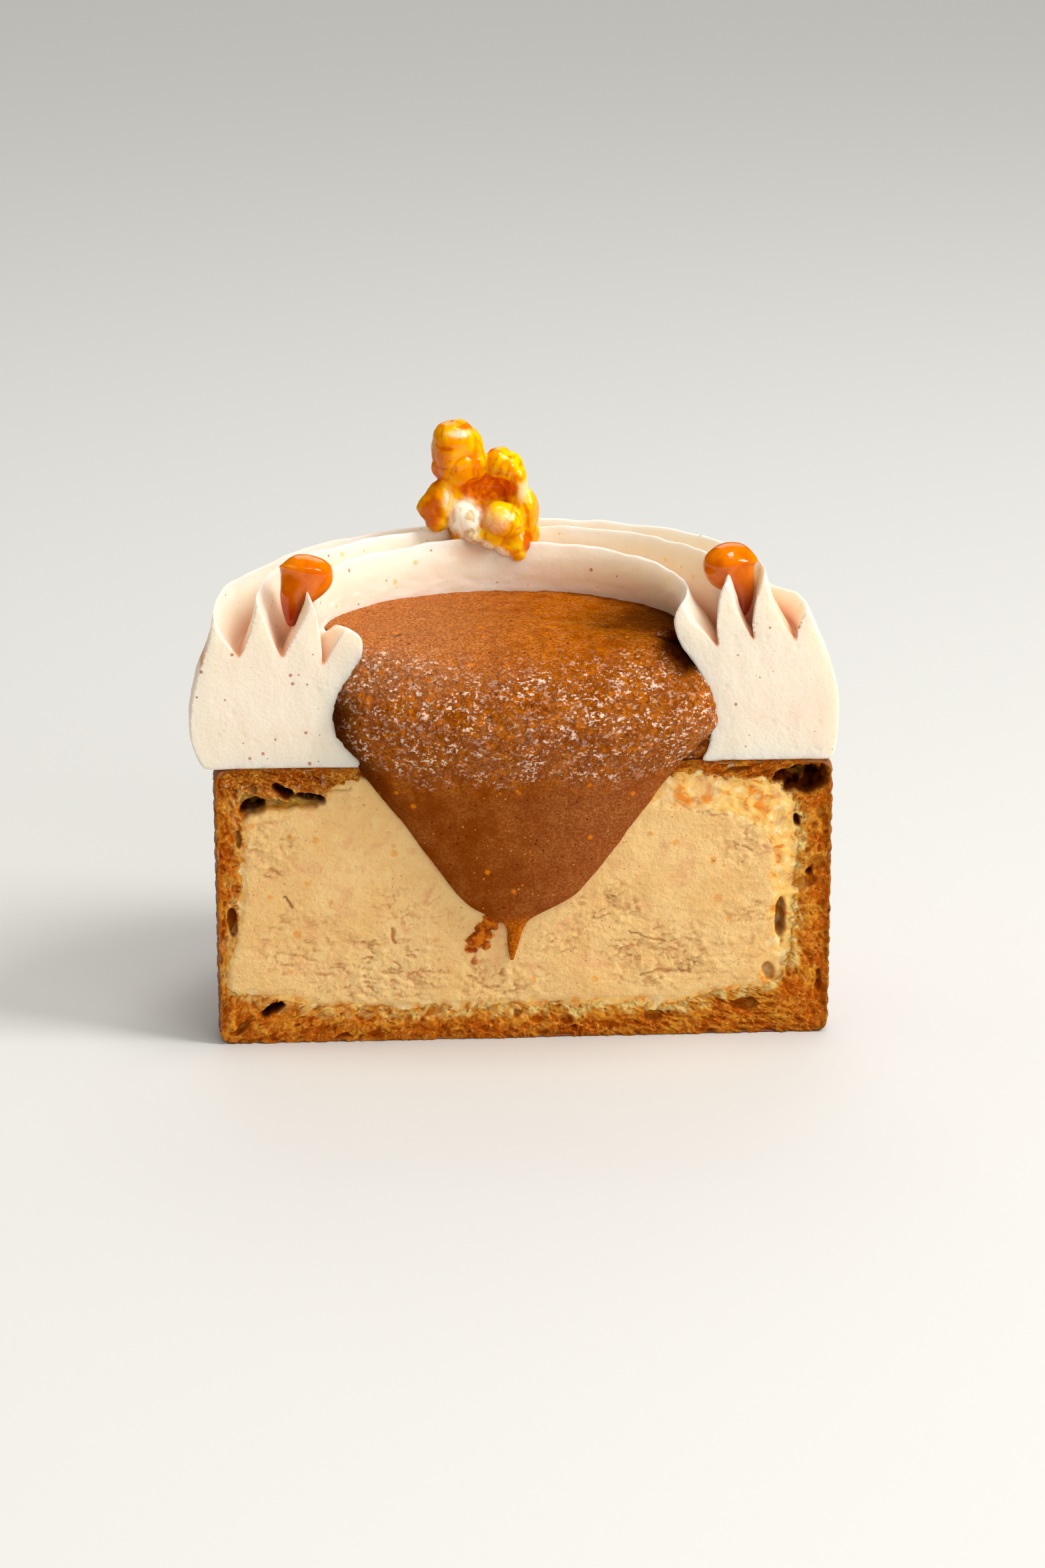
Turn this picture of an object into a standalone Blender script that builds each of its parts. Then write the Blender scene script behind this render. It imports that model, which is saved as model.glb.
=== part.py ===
"""Half of a round choux cake, cut straight across, after a paris-brest.

The cake was baked in a perforated ring, filled with praline mousseline, crowned with one
piped ring of vanilla cream, and its well was flooded with praline that runs down the cut.
The cut faces -Y. X runs along the cut, Z is up, and the cake stands on z = 0 with the
middle of its bounding box over the origin.

Inside the functions, lengths are millimetres and places are measured from the axis of the
whole cake at table height. Only place() turns them into metres and moves them.
"""
import math

import bmesh
import bpy
import numpy as np
from mathutils import Vector, noise

# ---- driving dimensions, in millimetres ------------------------------------------------
MM = 0.001                       # metres in a millimetre
CAKE_RADIUS = 40.0               # the 80 mm baking ring
CAKE_HEIGHT = 37.0
CUT = -4.0                       # the knife passed 4 mm in front of the cake's axis
GAP = 0.3                        # between neighbours that touch
WELD = 0.001                     # points nearer than this are one point

CREAM_OFFSET = -0.9              # the piped ring sits a little to the left of the axis
CREAM_MIDDLE = 33.2              # radius of the middle of the piped strand
CREAM_HALF_WIDTH = 8.8
CREAM_BELLY = 7.6                # height above the choux where the strand is widest
CREAM_SHOULDER = (7.8, 8.8)      # from the belly up to the valleys, left end and right end
FINS_ROUND = 10                  # teeth of the star nozzle
FIN_TWIST = 5.1                  # how far the fins wander inward over the half ring
FIN_CREST = (30.5, 24.3, 0.045)  # arch of the crests: middle radius, height, curvature
FIN_SHOWS = (-15.0, -11.5, 6.5, 10.5)   # fins fade in and out over these lengths of outline
PRALINE_LEVEL = 15.4             # surface of the praline above the choux
PRALINE_BULGE = 5.5              # how far it swells out in front of the cut
PRALINE_ROLL = 15.0              # how far back its front edge starts to roll over
WALL_LEFT = 4.3                  # crust thickness halfway up, at both ends of the cut
WALL_RIGHT = 5.6
CRUST_BASE = 4.1
CRUST_TOP = 3.2

# ---- how finely the shapes are divided ---------------------------------------------------
CREAM_STATIONS = 38
FIN_SAMPLES = (0.0, 0.2, 0.5, 0.8)      # shares of a fin's pitch, from crest to crest
WALL_STEPS = 60
FACE_STEP = 2.3                  # grid of the torn cut faces

# Bubbles of the crumb, open at the cut: middle x, z, half width, half height, depth.
BUBBLES = [
    (34.9, 34.9, 3.1, 1.8, 5.0), (35.1, 29.3, 1.1, 0.8, 2.5), (37.6, 30.5, 0.7, 1.0, 2.0),
    (37.4, 22.9, 0.7, 1.6, 2.0), (33.2, 15.9, 0.8, 2.9, 3.0), (-29.3, 31.9, 2.9, 1.2, 4.0),
    (-34.4, 31.0, 1.0, 0.7, 2.5), (-37.0, 27.0, 0.5, 1.4, 2.0), (-37.3, 16.2, 0.6, 2.0, 2.0),
    (-32.5, 4.2, 1.6, 0.9, 3.0), (33.6, 5.2, 1.3, 1.0, 3.0), (24.4, 2.4, 1.5, 0.7, 2.0),
]

# The tongue over the cut: height above the choux, left edge, right edge, thickness.
TONGUE = [
    (-25.6, -1.8, -1.0, 0.5), (-24.6, -2.4, -0.5, 1.0), (-22.0, -2.4, -0.3, 1.0),
    (-20.4, -3.4, 0.6, 1.3), (-19.2, -5.0, 3.2, 1.7), (-17.6, -7.3, 6.4, 2.1),
    (-14.0, -10.6, 9.5, 2.5), (-8.0, -14.9, 14.1, 3.1), (-3.0, -19.0, 17.6, 3.9),
    (GAP, -21.3, 20.2, 4.5), (2.6, -23.0, 22.2, 5.0), (5.5, -24.4, 24.2, 5.5),
]

# Lobes of the burst kernel: middle x, y, height above the choux, then three half sizes.
KERNEL = [
    (-4.8, 31.2, 28.6, 5.4, 3.4, 5.6), (-6.8, 29.6, 34.4, 3.8, 3.6, 4.3),
    (-0.8, 29.8, 31.2, 3.0, 3.0, 3.4), (-9.8, 29.2, 27.2, 2.6, 2.6, 3.4),
    (-6.1, 27.0, 25.6, 2.4, 2.1, 2.5), (-0.8, 27.2, 25.4, 4.2, 3.2, 3.6),
    (2.2, 28.6, 26.6, 1.8, 2.6, 3.6), (0.6, 25.2, 22.4, 1.7, 2.0, 2.0),
    (-4.4, 30.6, 23.6, 5.0, 3.8, 4.4),
]


# ---- small helpers ---------------------------------------------------------------------
def ease(start, end, value):
    """Go smoothly from 0 at start to 1 at end."""
    share = np.clip((value - start) / (end - start), 0.0, 1.0)
    return share * share * (3.0 - 2.0 * share)


def rough(x, y, z, size):
    """Smooth noise between about -1 and 1, with lumps of the given size."""
    return noise.noise(Vector((x, y, z)) / size)


def place(points):
    """Turn millimetres from the cake's axis into metres in the part's frame."""
    back = CREAM_MIDDLE + CREAM_HALF_WIDTH
    front = CUT - PRALINE_BULGE
    shift = np.array([-CREAM_OFFSET, -0.5 * (back + front), 0.0])
    return (np.asarray(points, dtype=float) + shift) * MM


def add_object(name, mesh_data, material=None):
    """Put a bmesh into the scene as a named object with outward faces."""
    bmesh.ops.triangulate(mesh_data, faces=mesh_data.faces[:])
    bmesh.ops.recalc_face_normals(mesh_data, faces=mesh_data.faces[:])
    mesh = bpy.data.meshes.new(name)
    mesh_data.to_mesh(mesh)
    mesh_data.free()
    obj = bpy.data.objects.new(name, mesh)
    bpy.context.scene.collection.objects.link(obj)
    if material:
        mesh.materials.append(material)
    return obj


def loft(loops):
    """Skin closed loops of equal length into one body with a flat cap at each end."""
    body = bmesh.new()
    rings = [[body.verts.new(point) for point in place(loop)] for loop in loops]
    for lower, upper in zip(rings, rings[1:]):
        for here, ahead in zip(range(len(lower)), np.roll(range(len(lower)), -1)):
            body.faces.new((lower[here], lower[ahead], upper[ahead], upper[here]))
    body.faces.new(rings[0][::-1])
    body.faces.new(rings[-1])
    bmesh.ops.remove_doubles(body, verts=body.verts[:], dist=WELD * MM)
    return body


def boolean(obj, other, operation):
    """Apply one Boolean of obj with other, and remove other."""
    modifier = obj.modifiers.new(operation.title(), "BOOLEAN")
    modifier.operation = operation
    modifier.object = other
    modifier.solver = "EXACT"
    apply_modifiers(obj)
    bpy.data.objects.remove(other)


def apply_modifiers(obj):
    """Replace an object's mesh with what its modifiers make of it."""
    depsgraph = bpy.context.evaluated_depsgraph_get()
    mesh = bpy.data.meshes.new_from_object(obj.evaluated_get(depsgraph))
    obj.modifiers.clear()
    obj.data = mesh


def keep_largest_body(obj):
    """Drop the scraps that a cut has left beside the main body."""
    body = bmesh.new()
    body.from_mesh(obj.data)
    unseen = set(body.verts)
    groups = []
    while unseen:
        group = {unseen.pop()}
        edge = list(group)
        while edge:
            vertex = edge.pop()
            fresh = {link.other_vert(vertex) for link in vertex.link_edges} & unseen
            unseen -= fresh
            group |= fresh
            edge.extend(fresh)
        groups.append(group)
    largest = max(groups, key=len)
    scraps = [vertex for vertex in body.verts if vertex not in largest]
    bmesh.ops.delete(body, geom=scraps, context="VERTS")
    body.to_mesh(obj.data)
    body.free()


def shade(obj, angle_degrees):
    """Shade smooth, but keep creases sharper than the angle."""
    obj.data.shade_smooth()
    obj.data.set_sharp_from_angle(angle=math.radians(angle_degrees))


def food(name, colour, roughness):
    """A plain Principled material."""
    material = bpy.data.materials.new(name)
    material.use_nodes = True
    shader = material.node_tree.nodes["Principled BSDF"]
    shader.inputs["Base Color"].default_value = (*colour, 1.0)
    shader.inputs["Roughness"].default_value = roughness
    shader.inputs["Metallic"].default_value = 0.0
    return material


# ---- choux shell and filling --------------------------------------------------------------
def turned_loop(radius_at, height, steps=WALL_STEPS):
    """A closed loop round the cake's axis; radius_at gives the radius at each angle."""
    angles = np.linspace(0.0, math.tau, steps, endpoint=False)
    return [(radius_at(a) * math.cos(a), radius_at(a) * math.sin(a), height) for a in angles]


def outer_crust():
    """The whole cake's outside: a drum with rounded rims and faint dents from baking."""
    rim = 1.6
    levels = [(rim * (1 - math.cos(a)), rim * (1 - math.sin(a)))
              for a in np.linspace(0.0, math.pi / 2, 4)]
    profile = [(height, inset) for height, inset in levels]
    profile += [(h, 0.0) for h in np.linspace(8.0, CAKE_HEIGHT - 8.0, 3)]
    profile += [(CAKE_HEIGHT - height, inset) for height, inset in levels[::-1]]

    def loop(height, inset):
        flat = min(height, CAKE_HEIGHT - height) / rim
        dent = 0.25 * min(flat, 1.0)
        return turned_loop(lambda a: CAKE_RADIUS - inset - dent * (
            0.5 + 0.5 * rough(6 * math.cos(a), 6 * math.sin(a), height / 6, 1.3)), height)

    return loft([loop(height, inset) for height, inset in profile])


def cavity(shrink):
    """The room inside the crust, drawn in by shrink: a squarish pillow turned on the axis."""
    middle = 0.5 * (CRUST_BASE + CAKE_HEIGHT - CRUST_TOP)
    half_height = middle - CRUST_BASE - shrink
    squareness = 14.0

    def loop(tilt):
        share = math.copysign(abs(math.sin(tilt)) ** (2 / squareness), tilt)
        reach = math.cos(tilt) ** (2 / squareness)
        height = middle + half_height * share

        def radius(angle):
            side = 0.5 + 0.5 * math.cos(angle)
            taper = 1.2 * share * (1.0 - side)
            wall = WALL_LEFT + (WALL_RIGHT - WALL_LEFT) * side + taper - 0.8
            wavy = 0.5 * rough(5 * math.cos(angle), 5 * math.sin(angle), height / 7, 1.0)
            return (CAKE_RADIUS - wall - shrink + wavy) * reach

        return turned_loop(radius, height)

    return loft([loop(tilt) for tilt in np.radians(np.linspace(-86.0, 86.0, 14))])


def behind_cut(name, relief, lumps):
    """A block behind the cut whose front is torn inward by up to relief.

    A grid stands on the cut, its points are pushed back by noise, and it is extruded
    past the back of the cake.
    """
    half_width = CAKE_RADIUS + 4.0
    half_height = 0.5 * CAKE_HEIGHT + 4.0
    block = bmesh.new()
    bmesh.ops.create_grid(block, x_segments=round(2 * half_width / FACE_STEP),
                          y_segments=round(2 * half_height / FACE_STEP), size=1.0)
    front = block.verts[:]
    for vertex in front:
        x = half_width * vertex.co.x
        z = 0.5 * CAKE_HEIGHT + half_height * vertex.co.y
        torn = 0.5 + 0.5 * rough(x, 0.0, z * 1.4, lumps)
        vertex.co = place([(x, CUT + relief * min(max(torn, 0.0), 1.0), z)])[0]
    extruded = bmesh.ops.extrude_face_region(block, geom=block.faces[:])["geom"]
    depth = CAKE_RADIUS + 6.0 - CUT
    moved = [item for item in extruded if isinstance(item, bmesh.types.BMVert)]
    bmesh.ops.translate(block, verts=moved, vec=(0.0, depth * MM, 0.0))
    return add_object(name, block)


def lump(middle, half_sizes, divisions, unevenness, grain):
    """A bmesh ellipsoid, pushed in and out by noise."""
    body = bmesh.new()
    bmesh.ops.create_icosphere(body, subdivisions=divisions, radius=1.0)
    for vertex in body.verts:
        x, y, z = vertex.co
        push = 1.0 + unevenness * rough(x + middle[0], y + middle[1], z + middle[2], grain)
        point = [m + s * push * c for m, s, c in zip(middle, half_sizes, (x, y, z))]
        vertex.co = place([point])[0]
    return body


def choux_shell():
    """The crust: the drum less its filling, torn at the cut and pocked with bubbles."""
    shell = add_object("choux_shell", outer_crust(), food("crust", (0.40, 0.20, 0.075), 0.75))
    boolean(shell, add_object("room", cavity(0.0)), "DIFFERENCE")
    boolean(shell, behind_cut("knife_crust", relief=0.7, lumps=2.2), "INTERSECT")
    for x, z, half_width, half_height, depth in BUBBLES:
        bubble = lump((x, CUT, z), (half_width, depth, half_height), 2, 0.35, 0.9)
        boolean(shell, add_object("bubble", bubble), "DIFFERENCE")
    keep_largest_body(shell)
    shade(shell, 40)


def filling():
    """The praline mousseline that fills the crust, dragged by the knife."""
    cream = add_object("filling", cavity(GAP), food("mousseline", (0.60, 0.40, 0.22), 0.6))
    boolean(cream, behind_cut("knife_filling", relief=1.1, lumps=2.8), "INTERSECT")
    keep_largest_body(cream)
    shade(cream, 40)


# ---- piped cream ring ----------------------------------------------------------------------
def strand_outline(share):
    """The strand's outline without fins at a share of the way round, and its arc lengths.

    A squarish rounded form, flatter below. Arc length is 0 at the top, grows outward and
    closes at the strand's whole perimeter.
    """
    shoulder = CREAM_SHOULDER[0] + (CREAM_SHOULDER[1] - CREAM_SHOULDER[0]) * share
    turn = np.linspace(0.0, math.tau, 1600, endpoint=False)
    up = np.cos(turn)
    out = np.sin(turn)
    power = np.where(up > 0, 3.0, 5.0)
    radius = CREAM_MIDDLE + CREAM_HALF_WIDTH * np.sign(out) * np.abs(out) ** (2 / power)
    reach = np.where(up > 0, shoulder, CREAM_BELLY - GAP)
    height = CREAM_BELLY + reach * np.sign(up) * np.abs(up) ** (2 / power)
    steps = np.hypot(np.diff(radius, append=radius[:1]), np.diff(height, append=height[:1]))
    length = np.concatenate([[0.0], np.cumsum(steps)])
    return np.append(radius, radius[0]), np.append(height, height[0]), length


def cream_section(share, grow=0.0):
    """Radii and heights of the finned strand at a share (0 left, 1 right) of the way round.

    The samples ride along with the fins, so crests and valleys always fall on a sample.
    """
    phase = np.tile(FIN_SAMPLES, FINS_ROUND)
    fin = np.repeat(np.arange(FINS_ROUND), len(FIN_SAMPLES))
    radius, height, length = strand_outline(share)
    perimeter = length[-1]
    along = perimeter * (fin + phase) / FINS_ROUND - 0.2 - FIN_TWIST * share
    radius = np.interp(along, length, radius, period=perimeter)
    height = np.interp(along, length, height, period=perimeter)
    along = (along + perimeter / 2) % perimeter - perimeter / 2

    wave = fin_wave(phase)
    start, full, fade, end = FIN_SHOWS
    wave = wave * ease(start, full, along) * ease(end, fade, along)
    crest_radius = CREAM_MIDDLE - 0.8 + 1.08 * along
    dying_fin = crest_radius < 23.3 - 5.5 * share
    wave = wave * (1.0 - dying_fin * ease(0.03, 0.22, share))
    middle, top, bend = FIN_CREST
    crest_height = top - bend * (crest_radius - middle) ** 2
    inner_fin = ease(24.0, 20.0, crest_radius)
    crest_height += inner_fin * (2.4 * ease(0.7, 1.0, share) - 2.5 * ease(0.2, 0.0, share))
    radius = radius + wave * (crest_radius - radius)
    height = height + wave * (crest_height - height)
    if grow:
        radius, height = grown(radius, height, grow)
    return radius, height


def fin_wave(phase):
    """Height of a fin across its pitch: 1 at the crest, 0 in the sharp valley."""
    off_crest = np.abs(2.0 * ((phase + 0.5) % 1.0 - 0.5))
    return 1.0 - off_crest ** 1.35


def grown(radius, height, amount):
    """Push a closed outline outward by an amount, along its corner normals."""
    ahead = np.stack([np.roll(radius, -1) - radius, np.roll(height, -1) - height], axis=1)
    ahead /= np.linalg.norm(ahead, axis=1)[:, None]
    normal = np.stack([-ahead[:, 1], ahead[:, 0]], axis=1)
    corner = normal + np.roll(normal, 1, axis=0)
    corner /= np.maximum(np.sum(corner * corner, axis=1) / 2.0, 0.35)[:, None]
    return radius + amount * corner[:, 0], height + amount * corner[:, 1]


def round_ring(share, radius, height, cut=CUT):
    """Points of the half ring: every radius starts and ends exactly on the cut."""
    past = np.arcsin(-cut / radius)
    angle = (math.pi + past) - share * (math.pi + 2.0 * past)
    x = CREAM_OFFSET + radius * np.cos(angle)
    y = radius * np.sin(angle)
    return np.stack([x, y, CAKE_HEIGHT + height + 0.0 * x], axis=-1)


def ring_shares():
    """Even stations round the half ring."""
    return np.linspace(0.0, 1.0, CREAM_STATIONS)


def cream_ring():
    """The piped ring of vanilla cream with its four fins."""
    loops = [round_ring(share, *cream_section(share)) for share in ring_shares()]
    ring = add_object("cream_ring", loft(loops), food("cream", (0.86, 0.74, 0.56), 0.5))
    shade(ring, 50)


def cream_cutter():
    """The cream ring grown by the gap, to trim what rests on it."""
    loops = [round_ring(share, *cream_section(share, GAP), CUT - GAP) for share in ring_shares()]
    cutter = add_object("cream_cutter", loft(loops))
    cutter.hide_render = True
    cutter.display_type = "WIRE"
    return cutter


# ---- praline ---------------------------------------------------------------------------------
def inner_wall(share, height):
    """Radius of the well's wall at a height above the choux: the first crossing outward."""
    height = max(height, 1.0)
    radius, level = cream_section(share)
    radius_next = np.roll(radius, -1)
    level_next = np.roll(level, -1)
    crosses = (level - height) * (level_next - height) < 0
    part = (height - level[crosses]) / (level_next[crosses] - level[crosses])
    return np.min(radius[crosses] + part * (radius_next[crosses] - radius[crosses]))


def praline_loop(height, front_ends, thickness, in_well, counts=(26, 26)):
    """One level of the praline: round the well's wall, then back across the bulging front.

    In the well it reaches a little into the cream, which is trimmed off afterwards. Below
    the well its back lies flat against the cut face instead.
    """
    behind, before = counts
    left, right = front_ends
    shares = np.linspace(0.0, 1.0, behind)
    if in_well:
        reach = np.full(behind, 2 * GAP)
        reach[[0, -1]] = -GAP
        wall = [round_ring(s, inner_wall(s, height) + extra, height)
                for s, extra in zip(shares, reach)]
        left = max(left, wall[0][0])
        right = min(right, wall[-1][0])
    else:
        wall = [(left + (right - left) * s, CUT - GAP, CAKE_HEIGHT + height) for s in shares]
    across = np.cos(np.linspace(0.0, math.pi, before + 2)[1:-1])
    x = 0.5 * (left + right) + 0.5 * (right - left) * across
    swell = (1.0 - np.abs(across) ** 2.4) ** 0.65
    y = CUT - GAP - (thickness - GAP) * swell
    front = np.stack([x, y, np.full_like(x, CAKE_HEIGHT + height)], axis=1)
    return np.vstack([wall, front])


def praline():
    """The flooded well and its tongue over the cut face, as one body.

    Above its fullest level the front rolls back in a quarter ellipse to the flat surface.
    """
    loops = [praline_loop(height, (left, right), thickness, height > GAP)
             for height, left, right, thickness in TONGUE]
    floor = [level for level in TONGUE if level[0] == GAP]
    for height, left, right, thickness in floor:
        at = TONGUE.index(floor[0]) + 1
        loops.insert(at, praline_loop(height, (left, right), thickness, True))
    fullest, left, right, thickness = TONGUE[-1]
    for roll in np.radians(np.linspace(12.0, 90.0, 8)):
        height = fullest + (PRALINE_LEVEL - fullest) * math.sin(roll)
        ahead = thickness - PRALINE_ROLL * (1.0 - math.cos(roll))
        loops.append(praline_loop(height, (left, right), ahead, True))
    flow = add_object("praline", loft(loops), food("praline", (0.27, 0.11, 0.03), 0.4))
    boolean(flow, cream_cutter(), "DIFFERENCE")
    keep_largest_body(flow)
    shade(flow, 45)


# ---- toppings ----------------------------------------------------------------------------------
def caramel_drop(name, middle, radius, foot):
    """A bead of caramel that has run from its middle down to its foot in a valley."""
    bead = lump(middle, (radius, radius, radius), 3, 0.05, 1.2)
    top = Vector(place([middle])[0])
    down = Vector(place([foot])[0]) - top
    for vertex in bead.verts:
        offset = vertex.co - top
        pull = max(offset.dot(down) / (down.length * radius * MM), 0.0)
        vertex.co = top + offset * (1.0 - 0.5 * pull ** 2) + down * pull ** 2 * 0.5
    drop = add_object(name, bead, food(name + "_caramel", (0.80, 0.34, 0.04), 0.15))
    boolean(drop, cream_cutter(), "DIFFERENCE")
    keep_largest_body(drop)
    shade(drop, 45)


def popcorn():
    """One caramelised kernel on the back of the ring, made of burst lobes."""
    kernel = None
    for x, y, height, *half_sizes in KERNEL:
        middle = (x, y, CAKE_HEIGHT + height)
        divisions = 3 if max(half_sizes) > 3.5 else 2
        lobe = add_object("lobe", lump(middle, half_sizes, divisions, 0.30, 0.8))
        if kernel is None:
            kernel = lobe
            kernel.name = "popcorn"
            kernel.data.materials.append(food("popcorn", (0.84, 0.42, 0.05), 0.25))
        else:
            boolean(kernel, lobe, "UNION")
    boolean(kernel, cream_cutter(), "DIFFERENCE")
    keep_largest_body(kernel)
    shade(kernel, 50)


def main():
    for obj in list(bpy.data.objects):
        bpy.data.objects.remove(obj)
    choux_shell()
    filling()
    cream_ring()
    praline()
    caramel_drop("caramel_drop_left", (-27.4, 3.0, CAKE_HEIGHT + 23.0), 3.7,
                 (-30.4, -2.0, CAKE_HEIGHT + 18.0))
    caramel_drop("caramel_drop_right", (26.8, 3.0, CAKE_HEIGHT + 24.5), 3.6,
                 (28.4, 0.5, CAKE_HEIGHT + 20.0))
    popcorn()


main()
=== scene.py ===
# %% [markdown]
# # Half of a cream-filled choux cake
#
# The packed solids are the frame: they say how large each piece is and where it sits. This
# script dresses them. Every piece of the cake gets a finer mesh, worked out as a formula on
# a grid, and a finish made of shader nodes.
#
# The cake was baked in a perforated ring, filled with praline cream, crowned with one piped
# ring of whipped cream, flooded with praline, and then cut in half.

# %% Load the packed solids
import itertools
import math

import bpy
import numpy as np
from mathutils.geometry import delaunay_2d_cdt
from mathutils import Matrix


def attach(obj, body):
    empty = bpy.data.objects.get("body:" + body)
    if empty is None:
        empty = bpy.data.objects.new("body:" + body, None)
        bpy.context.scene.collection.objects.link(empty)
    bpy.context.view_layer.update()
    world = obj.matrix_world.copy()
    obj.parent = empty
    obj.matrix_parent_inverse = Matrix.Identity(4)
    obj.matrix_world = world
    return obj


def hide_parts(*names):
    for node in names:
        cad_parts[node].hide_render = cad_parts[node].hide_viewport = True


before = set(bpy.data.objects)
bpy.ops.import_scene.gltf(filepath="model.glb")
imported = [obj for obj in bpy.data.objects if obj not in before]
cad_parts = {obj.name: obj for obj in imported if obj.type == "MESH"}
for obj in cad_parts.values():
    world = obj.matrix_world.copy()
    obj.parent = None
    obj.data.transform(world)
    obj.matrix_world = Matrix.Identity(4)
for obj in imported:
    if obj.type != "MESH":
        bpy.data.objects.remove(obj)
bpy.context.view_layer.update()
print("solids:", ", ".join(sorted(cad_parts)))

# %% [markdown]
# ## Sizes and places
#
# A baker thinks in millimetres from the middle of the cake, and so do the formulas below.
# Only `place` turns such points into the frame's metres.

# %% Sizes shared by several pieces, in millimetres
MM = 0.001
SHIFT = np.array([0.9, -16.25, 0.0])     # from the cake's axis to the frame's origin
CAKE_RADIUS = 40.0
CAKE_HEIGHT = 37.0
CUT = -4.0                               # the knife passed 4 mm in front of the axis
HALF_CUT = 39.8                          # half the width of the cut


def place(points):
    """Millimetres from the cake's axis, turned into metres in the frame."""
    return (np.asarray(points, dtype=float) + SHIFT) * MM


def ease(start, end, value):
    """Smooth step: 0 before start, 1 after end, and 3t² - 2t³ between them."""
    share = np.clip((value - start) / (end - start), 0.0, 1.0)
    return share * share * (3.0 - 2.0 * share)


def xyz(x, y, z):
    """Three arrays joined into points, after they are stretched to one shape."""
    return np.stack(np.broadcast_arrays(x, y, z), axis=-1).astype(float)


print("the cut is %.1f mm wide" % (2.0 * HALF_CUT))

# %% [markdown]
# ## Chance and noise
#
# Nothing on a cake is quite even. Noise is chance that changes smoothly: every corner of a
# lattice gets a fixed random slope, and the eight slopes round a place are blended. Because
# the random numbers come from the corner's own whole numbers, every run gives the same cake.

# %% Random numbers of a lattice
WORD = 0xFFFFFFFF


def chance(corner, seed):
    """A fixed number from 0 to 1 for each whole-number corner.

    The three whole numbers and the seed are multiplied by large odd numbers, mixed with
    exclusive or, and stirred twice more.
    """
    x, y, z = np.moveaxis(corner.astype(np.int64), -1, 0)
    mixed = (x * 73856093) ^ (y * 19349663) ^ (z * 83492791) ^ (seed * 2654435761)
    mixed &= WORD
    for _ in range(2):
        mixed = ((mixed ^ (mixed >> 16)) * 0x45D9F3B) & WORD
    return (mixed ^ (mixed >> 16)) / WORD


print("one corner's random number: %.3f" % chance(np.array([1, 2, 3]), 0))

# %% Smooth noise
def drift(points, size, seed=0):
    """Gradient noise from about -1 to 1, with lumps of the given size.

    Each lattice corner has a random slope g. Its part is g · (p - corner), and the eight
    parts are blended with weights 6t⁵ - 15t⁴ + 10t³.
    """
    at = np.asarray(points, dtype=float) / size
    low = np.floor(at)
    part = at - low
    smooth = part ** 3 * (part * (part * 6.0 - 15.0) + 10.0)
    total = np.zeros(at.shape[:-1])
    for step in itertools.product((0, 1), repeat=3):
        corner = low + step
        slope = xyz(*(2.0 * chance(corner, seed + 31 * k) - 1.0 for k in range(3)))
        weight = np.prod(np.where(np.array(step) == 1, smooth, 1.0 - smooth), axis=-1)
        total += weight * np.sum(slope * (part - step), axis=-1)
    return 1.6 * total


def fractal(points, size, octaves=4, seed=0):
    """Noise on noise: each octave has half the size and half the strength of the last."""
    shares = 0.5 ** np.arange(octaves)
    layers = [share * drift(points, size * share, seed + 7 * k)
              for k, share in enumerate(shares)]
    return sum(layers) / shares.sum()


print("noise at two places:", drift([[0.3, 1.2, 4.5], [7.0, 8.0, 9.5]], 2.0).round(2))

# %% Cells, as in a crumb or foam
def cells(points, size, seed=0):
    """Distances to the nearest and next nearest of scattered seeds, and the nearest's number.

    One seed lies at random in every cube of a lattice, so only 27 cubes are searched. The
    distances are in cubes.
    """
    at = np.asarray(points, dtype=float) / size
    home = np.floor(at)
    near = np.full(at.shape[:-1], 9.0)
    following = near.copy()
    number = np.zeros_like(near)
    for step in itertools.product((-1, 0, 1), repeat=3):
        cube = home + step
        spot = cube + xyz(*(0.05 + 0.9 * chance(cube, seed + 31 * k) for k in range(3)))
        away = np.linalg.norm(at - spot, axis=-1)
        closer = away < near
        following = np.where(closer, near, np.minimum(following, away))
        number = np.where(closer, chance(cube, seed + 97), number)
        near = np.minimum(near, away)
    return near, following, number


print("from a place to the nearest seed:", cells([[0.3, 1.2, 4.5]], 2.0)[0].round(2), "cubes")

# %% [markdown]
# ## From formula to mesh
#
# A grid of points becomes a mesh when each square of four neighbours gets a face. A ring is
# a grid whose last column joins the first, and a fan of triangles closes a pole. The sign of
# the volume tells whether the faces look outwards. A mesh could also be sculpted or built by
# modifiers, but points from a formula can be placed exactly where the solids have them.

# %% Faces of grids and poles
def grid_numbers(rows, columns):
    """The numbers of a grid's points, row by row."""
    return np.arange(rows * columns).reshape(rows, columns)


def grid_faces(number, round_columns=False):
    """Corner numbers of the squares between the points of a grid."""
    if round_columns:
        number = np.hstack([number, number[:, :1]])
    corners = [number[:-1, :-1], number[1:, :-1], number[1:, 1:], number[:-1, 1:]]
    return np.stack(corners, axis=-1).reshape(-1, 4)


def strip_faces(one, other):
    """Squares between two closed rings of corner numbers."""
    return np.stack([one, other, np.roll(other, -1), np.roll(one, -1)], axis=-1)


def fan_faces(ring, pole):
    """Triangles from a closed ring of corner numbers to one pole."""
    return np.stack([ring, np.full_like(ring, pole), np.roll(ring, -1)], axis=-1)


def tube_faces(rows, columns):
    """A grid whose columns join; poles, numbered last, close its first and last rows."""
    number = grid_numbers(rows, columns)
    return [grid_faces(number, round_columns=True),
            fan_faces(number[0], number.size)[:, ::-1],
            fan_faces(number[-1], number.size + 1)]


def closing_faces(border, total, layers):
    """Squares from a border over further rings, and a fan to the pole behind the last ring.

    The rings' points are numbered from total, ring by ring, and the pole comes after them.
    """
    size = border.size
    rings = [border] + [total + k * size + np.arange(size) for k in range(layers)]
    strips = [strip_faces(one, other) for one, other in zip(rings, rings[1:])]
    return [*strips, fan_faces(rings[-1], total + layers * size)]


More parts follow.
